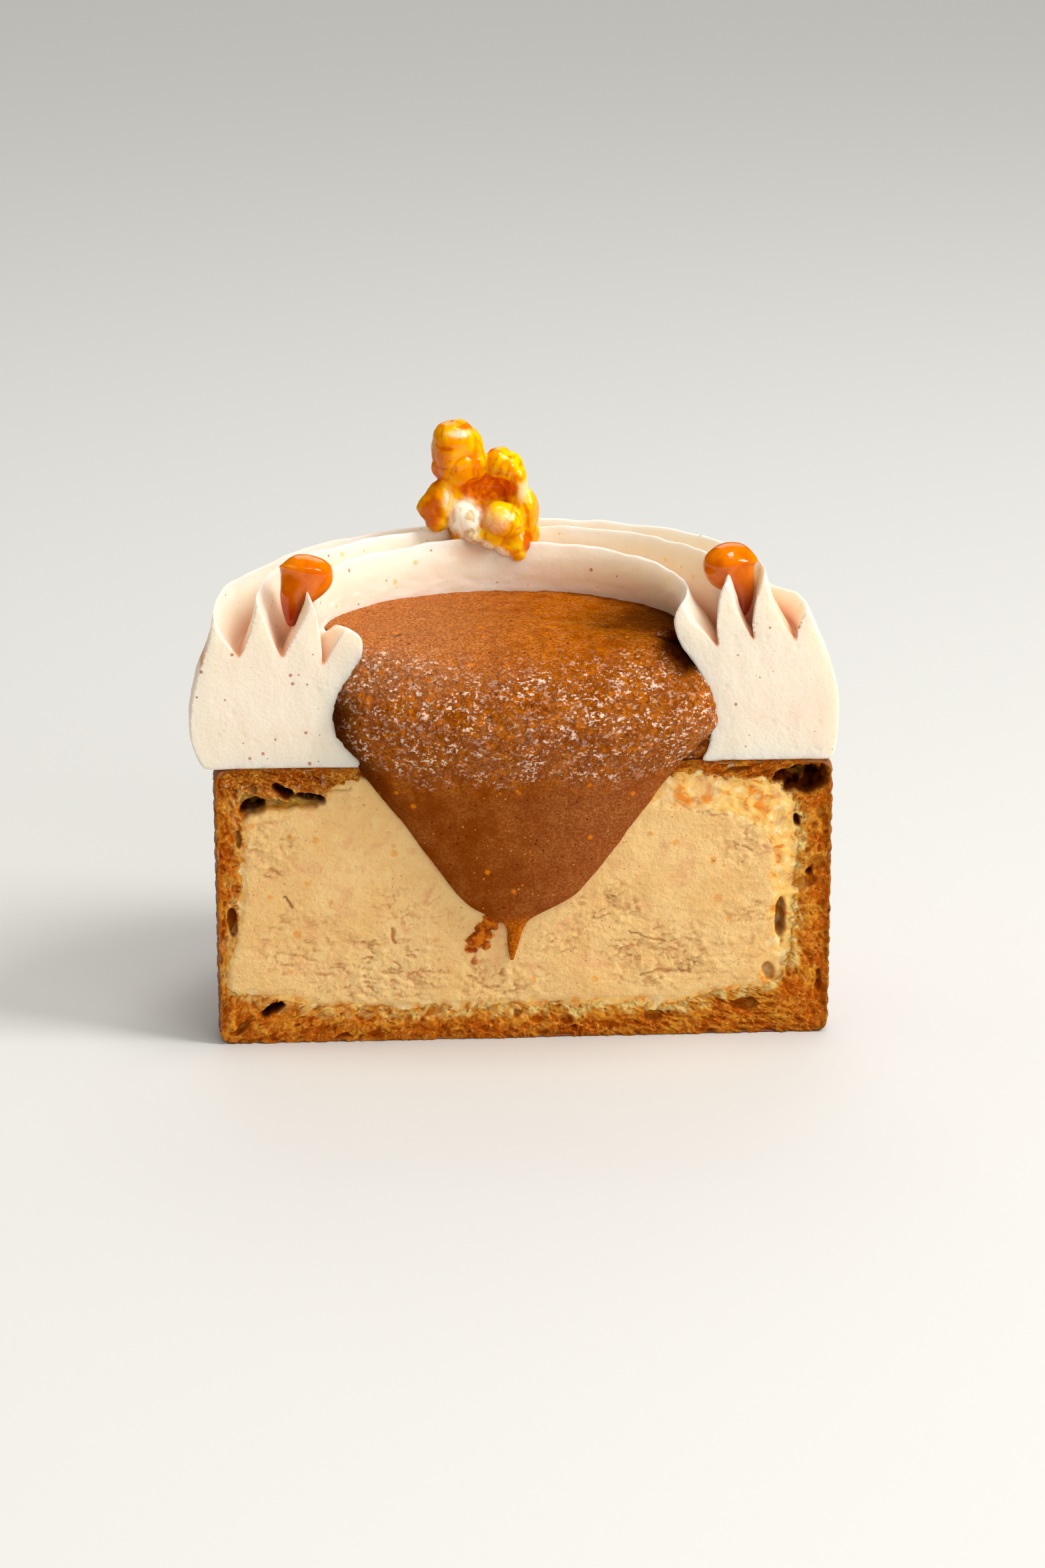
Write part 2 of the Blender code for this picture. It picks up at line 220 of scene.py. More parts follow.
print("3 by 4 points make %d squares" % len(grid_faces(grid_numbers(3, 4))))

# %% Volume and normals
def volume_of(points, faces):
    """Signed volume: the sum over triangles of a · (b × c) / 6."""
    total = 0.0
    for group in faces:
        for k in range(1, group.shape[1] - 1):
            a, b, c = (points[group[:, i]] for i in (0, k, k + 1))
            total += np.sum(a * np.cross(b, c)) / 6.0
    return total


def normals_of(points, faces):
    """Outward direction at each point: the sum of its faces' area vectors, made length 1."""
    total = np.zeros_like(points)
    for group in faces:
        across = points[group[:, 2]] - points[group[:, 0]]
        along = points[group[:, -1]] - points[group[:, 1]]
        area = np.cross(across, along)
        for k in range(group.shape[1]):
            np.add.at(total, group[:, k], area)
    total *= np.sign(volume_of(points, faces))
    return total / np.maximum(np.linalg.norm(total, axis=1), 1e-9)[:, None]


corner, sides = np.eye(4)[:, 1:], np.array([[0, 2, 1], [0, 3, 2], [0, 1, 3], [1, 2, 3]])
print("the corner cut off a unit cube holds %.3f of it" % volume_of(corner, [sides]))

# %% A piece of the cake from points and faces
def new_object(name, points, faces):
    """An object in the scene, from points in metres and groups of faces."""
    mesh = bpy.data.meshes.new(name)
    mesh.from_pydata(points.tolist(), [], [f for group in faces for f in group.tolist()])
    made = bpy.data.objects.new(name, mesh)
    bpy.context.scene.collection.objects.link(made)
    return made


def add_piece(name, points, faces, node, slot, finish, marks=None):
    """A closed mesh in the frame that stands for a packed node, with its finish.

    marks are named numbers, one a point, that the finish reads to know where it is. The
    points that close a piece come last, and a mark that leaves them out is 0 there.
    """
    if volume_of(points, faces) < 0.0:
        faces = [group[:, ::-1] for group in faces]
    piece = new_object(name, place(points), faces)
    for label, values in (marks or {}).items():
        every = np.zeros(len(points), dtype=np.float32)
        every[:values.size] = values.ravel()
        layer = piece.data.attributes.new(label, "FLOAT", "POINT")
        layer.data.foreach_set("value", every)
    piece.data.shade_smooth()
    piece.data.materials.append(finish)
    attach(piece, "root")
    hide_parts(node)
    triangles = sum(len(group) * (group.shape[1] - 2) for group in faces)
    print(f"{name}: {triangles} triangles, {volume_of(points, faces) / 1000:.1f} ml")

# %% [markdown]
# ## Finishes from nodes
#
# Every finish starts from a Principled shader. Its colour, roughness and bumps come from
# noise and cells that read the piece's own Object coordinates, so they stick to the food
# from every side. A picture could be wrapped round each piece instead, but it would stretch
# and show seams. `Nodes` keeps the node calls short: each method adds a node or two and
# returns the result. `Finish` lays the colour on in coats, as a cook would glaze.

# %% A short way to write a material
def paint(red, green, blue):
    """A colour as a picture shows it, 0 to 255, turned into the linear light of a shader."""
    seen = np.array([red, green, blue]) / 255.0
    linear = np.where(seen <= 0.04045, seen / 12.92, ((seen + 0.055) / 1.055) ** 2.4)
    return (*linear.tolist(), 1.0)


print("a middle grey in the linear light of a shader: %.3f" % paint(128, 128, 128)[0])

# %% Nodes of one material
class Nodes:
    """A material, its shader, and one method for each kind of node that the finishes use."""

    def __init__(self, name, **shader_values):
        self.material = bpy.data.materials.new(name)
        self.material.use_nodes = True
        self.tree = self.material.node_tree
        self.shader = self.tree.nodes["Principled BSDF"]
        self.shader.subsurface_method = "RANDOM_WALK"
        self.shader.inputs["Subsurface Scale"].default_value = 1.0    # the radii are metres
        for label, value in shader_values.items():
            self.shader.inputs[label.replace("_", " ")].default_value = value
        self.here = self.node("ShaderNodeTexCoord", "Object")

    def node(self, kind, output, inputs=None, **settings):
        """A new node with its settings made and its inputs fed; returns one output."""
        made = self.tree.nodes.new(kind)
        for label, value in settings.items():
            setattr(made, label, value)
        for socket, value in (inputs or {}).items():
            self.feed(made.inputs[socket], value)
        return made.outputs[output]

    def feed(self, socket, value):
        """Joins a socket to a node's output, or sets it to a number or a colour."""
        if isinstance(value, bpy.types.NodeSocket):
            self.tree.links.new(value, socket)
        else:
            socket.default_value = value

    def axis(self, which):
        """One of the piece's Object coordinates, X, Y or Z, in metres."""
        return self.node("ShaderNodeSeparateXYZ", which, {"Vector": self.here})

    def mark(self, label):
        """A number that the mesh carries at every point."""
        return self.node("ShaderNodeAttribute", "Fac", attribute_name=label)

    def stretched(self, x, y, z, lean=0.0):
        """Object coordinates, leant about Y and scaled: a pattern that is long in one way."""
        return self.node("ShaderNodeMapping", "Vector", {
            "Vector": self.here, "Rotation": (0.0, lean, 0.0), "Scale": (x, y, z)})

    def noise(self, size, detail=3.0, rough=0.55, distortion=0.0, vector=None):
        """Noise from 0 to 1 with lumps of a size in millimetres."""
        return self.node("ShaderNodeTexNoise", 0, {
            "Vector": vector or self.here, "Scale": 1.0 / (size * MM), "Detail": detail,
            "Roughness": rough, "Distortion": distortion})

    def band(self, value, low, high, start=0.0, end=1.0):
        """Smooth step from start to end while the value goes from low to high."""
        return self.node("ShaderNodeMapRange", "Result", {
            "Value": value, "From Min": low, "From Max": high, "To Min": start,
            "To Max": end}, interpolation_type="SMOOTHSTEP")

    def math(self, one, other, operation):
        """Two numbers joined by one of the Math node's operations."""
        return self.node("ShaderNodeMath", 0, {0: one, 1: other}, operation=operation)

    def sum(self, one, other):
        return self.math(one, other, "ADD")

    def times(self, one, other):
        return self.math(one, other, "MULTIPLY")


print("helpers for nodes:", ", ".join(name for name in vars(Nodes) if name[0] != "_"))

# %% Coats of colour, specks and bumps
class Finish(Nodes):
    """A material with the colour that has been laid on it so far."""

    colour = None

    def blend(self, factor, one, other):
        """From the one colour to the other as the factor goes from 0 to 1."""
        one, other = (paint(*c) if isinstance(c, tuple) else c for c in (one, other))
        return self.node("ShaderNodeMix", 2, {0: factor, 6: one, 7: other}, data_type="RGBA")

    def over(self, mask, tint, strength=1.0):
        """One more coat: the tint covers the colour so far where the mask is 1."""
        shown = mask if strength == 1.0 else self.times(mask, strength)
        self.colour = self.blend(shown, self.colour, tint)

    def specks(self, size, smallest, largest, share):
        """A mask of small round specks, one in some of a pattern's cells.

        A speck shows where the distance to the cell's seed is less than a random radius,
        and only in the given share of the cells.
        """
        distance = self.node("ShaderNodeTexVoronoi", "Distance", {
            "Vector": self.here, "Scale": 1.0 / (size * MM)})
        draws = self.node("ShaderNodeSeparateColor", "Red", {
            "Color": distance.node.outputs["Color"]}).node.outputs
        radius = self.band(draws["Red"], 0.0, 1.0, smallest / size, largest / size)
        inside = self.band(self.math(distance, radius, "DIVIDE"), 1.15, 0.75)
        return self.times(inside, self.band(draws["Green"], share, share - 0.01))

    def speckle(self, *rows):
        """Coats of specks: cell size, smallest, largest, share, tint and strength of each."""
        for *sizes, tint, strength in rows:
            self.over(self.specks(*sizes), tint, strength)

    def raised(self, height, depth):
        """Bump: the surface is lit as if raised by height times a depth in millimetres."""
        return self.node("ShaderNodeBump", "Normal", {
            "Height": height, "Distance": depth * MM, "Strength": 1.0})

    def finished(self, **sockets):
        """The material, with its colour and the named sockets joined to the shader."""
        if self.colour:
            sockets["Base_Color"] = self.colour
        for label, value in sockets.items():
            self.feed(self.shader.inputs[label.replace("_", " ")], value)
        return self.material


print("and for coats:", ", ".join(name for name in vars(Finish) if name[0] != "_"))

# %% [markdown]
# ## The camera and the light
#
# The camera stands where the photographer's stood, worked out from the rim, the base and the
# ridges of the cake: half a metre away, a little to the left, looking down 16 degrees. A
# window stands high on the right and a small skylight straight above; both glint on wet
# food. The room is bright at the back and dark behind the camera, and a matte board in front
# lightens the cut. Room and board aren't mirrored, so that dark food keeps its deep colour.

# %% Camera
LOOK_AT = place([0.0, 0.0, 30.0])
AZIMUTH, ELEVATION, ROLL = (math.radians(a) for a in (-3.362, 16.409, 0.122))
DISTANCE = 530.879
PHOTO_HEIGHT = 2352.0                    # in pixels, as are the next two lines
FOCUS = 6143.631
SHIFT_RIGHT, SHIFT_UP = -1.182, 38.791
SENSOR = 36.0


def camera_axes():
    """Right, up and back of the camera, from azimuth, elevation and roll."""
    back = np.array([math.sin(AZIMUTH) * math.cos(ELEVATION),
                     -math.cos(AZIMUTH) * math.cos(ELEVATION), math.sin(ELEVATION)])
    level = np.array([math.cos(AZIMUTH), math.sin(AZIMUTH), 0.0])
    upright = np.cross(back, level)
    right = math.cos(ROLL) * level - math.sin(ROLL) * upright
    up = math.sin(ROLL) * level + math.cos(ROLL) * upright
    return right, up, back


def stand(name, data, axes, place_m):
    """A camera or a lamp in the scene, from its right, up and back directions."""
    thing = bpy.data.objects.new(name, data)
    pose = np.eye(4)
    pose[:3, :3] = np.stack(axes, axis=1)
    pose[:3, 3] = place_m
    thing.matrix_world = pose.T.tolist()
    bpy.context.scene.collection.objects.link(thing)
    return thing


lens = bpy.data.cameras.new("camera")
lens.sensor_width = SENSOR
lens.lens = FOCUS * SENSOR / PHOTO_HEIGHT
lens.shift_x = SHIFT_RIGHT / PHOTO_HEIGHT
lens.shift_y = SHIFT_UP / PHOTO_HEIGHT
lens.clip_start = 0.01
axes = camera_axes()
stand_at = LOOK_AT + axes[2] * DISTANCE * MM
bpy.context.scene.camera = stand("camera", lens, axes, stand_at)
print("camera %.0f mm lens at" % lens.lens, stand_at.round(3))

# %% Lights
def add_window(name, size, power, place_m, mirrored=True):
    """A soft rectangular light that faces the cake; glossy food may or may not mirror it."""
    light = bpy.data.lights.new(name, "AREA")
    light.shape = "RECTANGLE"
    light.size, light.size_y = size
    light.energy = power
    back = np.array(place_m) - LOOK_AT
    back /= np.linalg.norm(back)
    side = np.cross([0.0, 0.0, 1.0], back)
    side /= np.linalg.norm(side)
    lamp = stand(name, light, (side, np.cross(back, side), back), place_m)
    lamp.visible_glossy = mirrored
    print(f"{name}: {power} W")


add_window("window", (0.36, 0.56), 9.4, (0.71, -0.27, 0.87))
add_window("skylight", (0.26, 0.26), 2.2, (0.12, 0.02, 1.05))
add_window("ceiling", (1.8, 1.5), 12.0, (0.25, 2.2, 1.6))
add_window("front_board", (1.0, 0.8), 7.4, (0.45, -1.15, 0.45), mirrored=False)

# %% The room
ROOM_DARK, ROOM_BRIGHT = 0.13, 0.66      # towards the camera, and towards the back
ROOM_TOWARDS = (0.35, 0.85, 0.40)
ROOM_FADE = 0.75                         # the dot product goes from minus this to this
ROOM_COLOUR = (1.0, 0.99, 0.97, 1.0)


def light_room():
    """A sky that is bright at the back and right, and dark behind the camera.

    Its strength is a smooth step of the direction's dot product with the bright side's.
    """
    room = bpy.data.worlds.new("room")
    room.use_nodes = True
    nodes, links = room.node_tree.nodes, room.node_tree.links
    way = nodes.new("ShaderNodeTexCoord")
    facing = nodes.new("ShaderNodeVectorMath")
    facing.operation = "DOT_PRODUCT"
    facing.inputs[1].default_value = ROOM_TOWARDS
    strength = nodes.new("ShaderNodeMapRange")
    strength.interpolation_type = "SMOOTHSTEP"
    for socket, value in (("From Min", -ROOM_FADE), ("From Max", ROOM_FADE),
                          ("To Min", ROOM_DARK), ("To Max", ROOM_BRIGHT)):
        strength.inputs[socket].default_value = value
    links.new(way.outputs["Generated"], facing.inputs[0])
    links.new(facing.outputs["Value"], strength.inputs["Value"])
    links.new(strength.outputs["Result"], nodes["Background"].inputs["Strength"])
    nodes["Background"].inputs["Color"].default_value = ROOM_COLOUR
    return room


bpy.context.scene.world = light_room()
bpy.context.scene.world.cycles_visibility.glossy = False
bpy.context.scene.view_settings.view_transform = "Standard"
print("the room's strength goes from %.2f to %.2f" % (ROOM_DARK, ROOM_BRIGHT))

# %% [markdown]
# ## The floor
#
# A plain pale slab on which the cake stands and throws its shadow. It isn't part of the
# cake. A square would do, but a disc has no corner that could show: it is a fan of
# triangles round one pole, so large that its edge is never seen.

# %% Floor
FLOOR_RADIUS = 4000.0
FLOOR_SIDES = 96

slab = Finish("pale_floor", Base_Color=paint(213, 211, 206), Roughness=0.6,
              Specular_IOR_Level=0.2)
turn = np.linspace(0.0, math.tau, FLOOR_SIDES, endpoint=False)
disc = np.vstack([xyz(np.cos(turn), np.sin(turn), 0.0), [[0.0, 0.0, 0.0]]]) * FLOOR_RADIUS
floor = new_object("floor", disc * MM, [fan_faces(np.arange(FLOOR_SIDES), FLOOR_SIDES)[:, ::-1]])
floor.data.materials.append(slab.finished())
print("floor: %.0f m across" % (2.0 * FLOOR_RADIUS * MM))

# %% [markdown]
# ## The choux wall
#
# The outside of the choux is a straight drum. Where the dough pressed against the holes of
# the baking ring it rose into small round dots, in staggered rows 2.1 mm apart. A cylinder
# with a displacement would show the dots too, but its rim, its lid and the cut would need
# more work. So the wall is one surface: the profile, from the middle of the floor out, up
# the side and back in over the lid, is carried round from one end of the cut to the other.
# At the cut it ends in a thin skin, and the crumb sits just inside that.

# %% Profile and reach of the drum
RIM = 1.6                                # radius of the bend from the side to floor and lid
DOT_PITCH = 2.1                          # from one row of dots to the next
DOT_SPACING = 1.12 * DOT_PITCH           # from dot to dot along a row
FLAT_STEPS, BEND_STEPS, SIDE_STEPS = 12, 7, 118


def drum_reach(turn):
    """Distance from the middle of the cut to the drum's side, in each direction.

    The middle of the cut lies |CUT| in front of the axis, so the circle is met at
    |CUT|·sin + √(R² - CUT²·cos²).
    """
    inside = CAKE_RADIUS ** 2 - (CUT * np.cos(turn)) ** 2
    return -CUT * np.sin(turn) + np.sqrt(inside)


def drum_profile():
    """Along the profile from floor to lid: the share of the way in to the middle of the cut,
    how far in from the side the bends lie, and the height."""
    bend = np.linspace(0.0, math.pi / 2, BEND_STEPS)
    rise, draw = RIM * (1 - np.cos(bend)), RIM * (1 - np.sin(bend))
    side = np.linspace(RIM, CAKE_HEIGHT - RIM, SIDE_STEPS)[1:-1]
    flat = np.ones(FLAT_STEPS)
    share = np.linspace(1.0, 0.0, FLAT_STEPS, endpoint=False)
    share = np.concatenate([share, np.zeros(2 * BEND_STEPS + side.size), share[::-1]])
    inset = np.concatenate([RIM * flat, draw, 0.0 * side, draw[::-1], RIM * flat])
    height = np.concatenate([0.0 * flat, rise, side, CAKE_HEIGHT - rise[::-1],
                             CAKE_HEIGHT * flat])
    return share, inset, height


def dots(length, height):
    """Raised dots: 1 in the middle of each, 0 between them, in staggered rows."""
    row = np.round(height / DOT_PITCH)
    shifted = length / DOT_SPACING + 0.5 * (row % 2)
    along = (shifted - np.round(shifted)) * DOT_SPACING
    return ease(0.85, 0.25, np.hypot(along, height - row * DOT_PITCH))


print("the wall's profile has %d points" % len(drum_profile()[0]))

# %% The wall's surface
WALL_STEPS = 400
DENT, DOT_HEIGHT = 0.25, 0.2
SKIN = 0.3                               # thickness of the browned skin at the cut
SHELL_END = 7.0                          # how far behind its edge the wall is closed


def choux_wall_points():
    """Points of the wall, and marks of its dots and of its height.

    In direction t the side lies at reach(t) - inset, less dents of up to DENT and plus dots
    of DOT_HEIGHT. Lid and floor run from there to the middle of the cut. Near the cut the
    skin stands back a little, raggedly, so that torn crumb makes the edge.
    """
    turn = np.linspace(0.0, math.pi, WALL_STEPS)[None, :]
    share, inset, height = (a[:, None] for a in drum_profile())
    around = CAKE_RADIUS * turn
    flat = np.minimum(height, CAKE_HEIGHT - height)
    rough = fractal(xyz(around, 0.0, height), 5.0, 4)
    raised = dots(around, height) * ease(0.6, RIM, flat)
    out = DOT_HEIGHT * raised - DENT * (0.5 + 0.5 * rough) * np.clip(flat / RIM, 0.0, 1.0)
    radius = (drum_reach(turn) - inset + out) * (1.0 - share)
    ripple = 0.12 * fractal(xyz(radius * np.cos(turn), radius * np.sin(turn), 5.0), 3.0)
    lift = np.where((share > 0) & (height > 1), ripple - 0.06, 0.0)
    points = xyz(radius * np.cos(turn), CUT + radius * np.sin(turn), height + lift)
    stands_back = 0.55 + 0.4 * fractal(points, 1.2, 3, 15)
    points[..., 1] += stands_back * np.maximum(0.0, 1.0 - (points[..., 1] - CUT) / 3.0)
    return points, {"dot": raised, "level": height / CAKE_HEIGHT + 0.0 * turn}


def choux_wall():
    """The wall closed at the cut: a skin, then a step back to a flat end behind the crumb."""
    points, marks = choux_wall_points()
    number = grid_numbers(*points.shape[:2])
    loop = np.concatenate([number[:, 0], number[::-1, -1]])
    edge = points.reshape(-1, 3)[loop]
    middle = np.array([0.0, CUT, 0.5 * CAKE_HEIGHT])
    inner = middle + (edge - middle) * (1.0 - SKIN / np.array([HALF_CUT, 1.0, middle[2]]))
    inner[:, 1] = edge[:, 1] + 0.1
    behind = inner * [0.985, 1.0, 1.0] + [0.0, SHELL_END, 0.0]
    tip = middle + [0.0, SHELL_END + 0.35, 0.0]
    everything = np.vstack([points.reshape(-1, 3), inner, behind, tip])
    return everything, [grid_faces(number), *closing_faces(loop, number.size, 2)], marks


print("the wall's grid: %d by %d points" % (len(drum_profile()[0]), WALL_STEPS))

# %% [markdown]
# ## The wall's finish
#
# Choux browns most where it touched the hot ring: on the dots, at the rim and at the base.
# The dents between stay paler and rougher. One brown with a bump would look like clay, so
# the colour follows the same marks of dots and height that shaped the mesh.

# %% Finish of the wall
def crust_finish():
    """Browned dough: dark where it touched the ring, paler and rougher in its dents."""
    made = Finish("browned_crust", Roughness=0.62, Subsurface_Weight=0.08,
                  Subsurface_Radius=(0.002, 0.0009, 0.0004))
    broad = made.band(made.noise(7.0, 4.0, 0.6), 0.35, 0.65)
    fine = made.band(made.noise(0.7, 3.0, 0.65), 0.32, 0.7)
    light = made.blend(broad, (166, 96, 42), (192, 122, 60))
    made.colour = made.blend(fine, made.blend(0.45, light, (98, 48, 20)), light)
    made.over(made.mark("dot"), (122, 62, 26), 0.55)
    level = made.mark("level")
    ends = made.sum(made.band(level, 0.10, 0.0), made.band(level, 0.93, 1.0))
    made.over(ends, (104, 50, 20), 0.6)
    pits = made.specks(0.9, 0.08, 0.28, 0.5)
    made.over(pits, (70, 30, 12), 0.6)
    bump = made.raised(made.sum(made.times(pits, -0.6), made.noise(0.5, 4.0, 0.7)), 0.22)
    return made.finished(Normal=bump, Roughness=made.band(broad, 0.0, 1.0, 0.5, 0.72))


points, faces, marks = choux_wall()
add_piece("choux_wall", points, faces, "choux_shell", "crust", crust_finish(), marks)

# %% [markdown]
# ## The crumb at the cut
#
# The knife opened the choux, and the cut shows its crumb: a frame round the filling, full of
# torn bubbles. Bumps in a finish would stay flat at the edges of the bubbles, so the bubbles
# are real hollows. The frame is a grid that runs round the cake's outline one way and from
# skin to filling the other way, and every point is pushed back into the cake by the bubbles
# that lie there. Small bubbles are cells of three sizes, drawn out along the crust. The
# large torn ones are listed one by one, where the photograph shows them.

# %% Named bubbles of the crumb
BUBBLES = [     # middle x and z, half width, half height, depth, lean
    (36.0, 34.4, 2.8, 1.9, 6.0, 0.1), (33.6, 35.0, 1.6, 0.9, 4.0, 0.3),
    (35.3, 28.9, 0.45, 0.8, 2.6, -0.6), (37.0, 21.9, 0.5, 0.5, 2.2, 0.0),
    (38.3, 29.8, 0.6, 0.9, 1.1, 0.0), (37.7, 23.0, 1.2, 1.0, 1.1, 0.3),
    (36.2, 20.4, 1.8, 1.0, 1.1, 0.2), (33.3, 15.6, 0.7, 3.0, 2.2, 0.0),
    (31.9, 8.4, 0.8, 1.1, 1.5, -0.5), (28.8, 3.9, 1.7, 0.9, 1.4, 0.0),
    (38.5, 7.0, 0.4, 1.4, 1.2, -0.3), (16.6, 2.5, 1.1, 0.9, 1.3, 0.0),
    (-31.0, 34.0, 1.5, 0.9, 4.0, -0.5), (-27.8, 33.0, 1.9, 0.75, 4.0, -0.15),
    (-35.0, 31.8, 1.6, 0.85, 4.0, 0.2), (-36.9, 27.6, 0.35, 1.3, 1.4, 0.0),
    (-37.9, 16.4, 0.65, 2.0, 1.8, -0.2), (-33.0, 4.5, 1.5, 0.7, 4.0, 0.45),
    (-37.0, 1.9, 0.9, 0.6, 1.3, 0.7), (-34.9, 34.4, 0.5, 0.6, 1.2, 0.0),
    (5.5, 2.4, 0.8, 0.7, 1.0, 0.0), (27.5, 35.9, 1.6, 0.4, 1.3, 0.1),
]


def bubble_depth(x, z):
    """Depth of the deepest named bubble at (x, z), and a mark from 0 outside to 1 inside.

    A bubble is a leaning ellipse whose edge wavers: it counts where |p - middle| / half
    sizes, plus a little noise, is below 1, and its wall is steep.
    """
    deepest = np.zeros_like(x)
    inside = np.zeros_like(x)
    waver = 0.6 * fractal(xyz(x, 0.0, z), 1.9, 3, 6)
    for middle_x, middle_z, half_x, half_z, depth, lean in BUBBLES:
        up = z - middle_z - lean * (x - middle_x)
        away = np.hypot((x - middle_x) / half_x, up / half_z) + waver
        here = ease(1.12, 0.84, away)
        deepest = np.maximum(deepest, depth * here * (0.7 + 0.3 * ease(1.0, 0.3, away)))
        inside = np.maximum(inside, here * min(1.0, 0.4 * depth - 0.3))
    return deepest, inside


print("named bubbles:", len(BUBBLES))

# %% Where crumb, moist web and cream meet
# Each edge is drawn by a few places: (height, x) for the sides, (x, height) for lid and floor.
CRUMB_LEFT = [(0, -30.0), (4.0, -32.0), (6.0, -36.0), (7.6, -39.1), (10, -38.9), (13, -38.2),
              (18, -37.2), (25, -36.6), (32, -36.7), (36, -36.2)]
CRUMB_RIGHT = [(0, 24.0), (4.0, 26.0), (6.2, 31.6), (9, 34.2), (14, 35.0), (20, 34.9),
               (28, 35.6), (33, 34.0), (36, 32.0)]
CRUMB_LID = [(-40, 33.4), (-34, 33.6), (-28.6, 33.4), (-26, 33.2), (-23.5, 35.4), (-18, 36.0),
             (8, 36.0), (20, 35.6), (30, 34.6), (40, 33.5)]
CRUMB_FLOOR = [(-40, 4.6), (-36, 6.2), (-31, 5.4), (-27, 4.5), (-10, 4.1), (6, 4.3), (20, 4.2),
               (26, 5.6), (31, 6.0), (40, 5.5)]
CORE_RIGHT = [(4, 33.0), (8, 30.4), (12, 31.4), (18, 32.0), (25.5, 32.1), (28, 30.8),
              (29.6, 27.4), (31, 23.0), (33, 14.0)]
CORE_LID = [(-40, 26.0), (-37, 29.0), (-35, 31.0), (-31.5, 31.4), (-27, 31.4), (-24.5, 33.6),
            (-22, 36.0), (8, 34.0), (16, 31.3), (23, 30.9), (28, 29.4), (40, 24.0)]


def drawn(table, at):
    """The value of a drawn edge at any place along it."""
    places, values = np.array(table, dtype=float).T
    return np.interp(at, places, values)


def inside_of(x, z, right, lid, inset=(0.0, 0.0)):
    """How many millimetres a place lies inside four drawn edges; below 0 it is outside.

    The left edge and the floor are the crumb's, drawn in by inset.
    """
    return np.minimum.reduce([x - drawn(CRUMB_LEFT, z) - inset[0], drawn(right, z) - x,
                              z - drawn(CRUMB_FLOOR, x) - inset[1], drawn(lid, x) - z])


def past_crumb(x, z):
    """How far a place lies inside the crumb's torn inner edge: the drawn edge, and noise."""
    flat = xyz(x, 0.0, z)
    ragged = 1.2 * fractal(flat, 2.6, 4, 8) + 0.35 * drift(flat, 0.7, 9)
    return inside_of(x, z, CRUMB_RIGHT, CRUMB_LID) + ragged


def inside_core(x, z):
    """How far a place lies inside the tan core of the filling; below 0 in the moist web."""
    return inside_of(x, z, CORE_RIGHT, CORE_LID, inset=(0.7, 1.0))


print("in the middle, the crumb's edge is %.1f mm away" % past_crumb(np.zeros(1), 18.0)[0])

# %% The frame between skin and filling
CRUMB_AROUND, CRUMB_ACROSS = 1600, 54
OUTER = dict(middle=(0.0, 18.66), half=(39.7, 18.60), squareness=34.0)
INNER = dict(middle=(-1.4, 19.3), half=(31.5, 12.2), squareness=7.0)
SLAB = [        # row of the front that is followed, depth behind the cut, how much drawn in
    (-1, 5.0, 1.0), (-1, 8.5, 1.0), (0, 8.5, 0.975), (0, 4.0, 0.98), (0, 1.6, 0.99)]


def square_walk(count, half):
    """Points round a square of half size 1, spaced evenly once it is stretched to half."""
    sides = np.array([half[0], half[1], half[0], half[1]]) * 2.0
    length = np.linspace(0.0, sides.sum(), count, endpoint=False)
    corner = np.concatenate([[0.0], np.cumsum(sides)])
    across = np.interp(length, corner, [-1.0, 1.0, 1.0, -1.0, -1.0])
    upward = np.interp(length, corner, [-1.0, -1.0, 1.0, 1.0, -1.0])
    return across, upward, length


def pillow(across, upward, middle, half, squareness):
    """A square pulled onto a superellipse: (a, u) times max / (|a|ⁿ + |u|ⁿ)^(1/n)."""
    largest = np.maximum(np.maximum(np.abs(across), np.abs(upward)), 1e-9)
    total = np.abs(across / largest) ** squareness + np.abs(upward / largest) ** squareness
    pull = total ** (-1.0 / squareness)
    return middle[0] + half[0] * across * pull, middle[1] + half[1] * upward * pull


def sponge(length, inward):
    """Depth of the small bubbles, drawn out along the crust: three sizes of cells.

    Between two cells stands a thin wall, where the distances to the nearest and the next
    seed are nearly the same. A cell's number says how deep it is. Ridged noise, |n|, tears
    the crumb into ragged flakes.
    """
    flat = xyz(length * 0.72, 0.0, inward)
    flat = flat + 0.4 * xyz(drift(flat, 1.4, 3), 0.0, drift(flat, 1.4, 4))
    pit = 0.65 * np.abs(fractal(flat, 2.4, 4, 14)) + 0.40 * np.abs(fractal(flat, 0.9, 3, 16))
    for size, depth, seed in ((1.7, 0.36, 11), (0.9, 0.32, 12), (0.5, 0.24, 13)):
        near, following, number = cells(flat, size, seed)
        pit += depth * ease(0.0, 0.34, following - near) * ease(0.1, 1.0, number)
    return pit


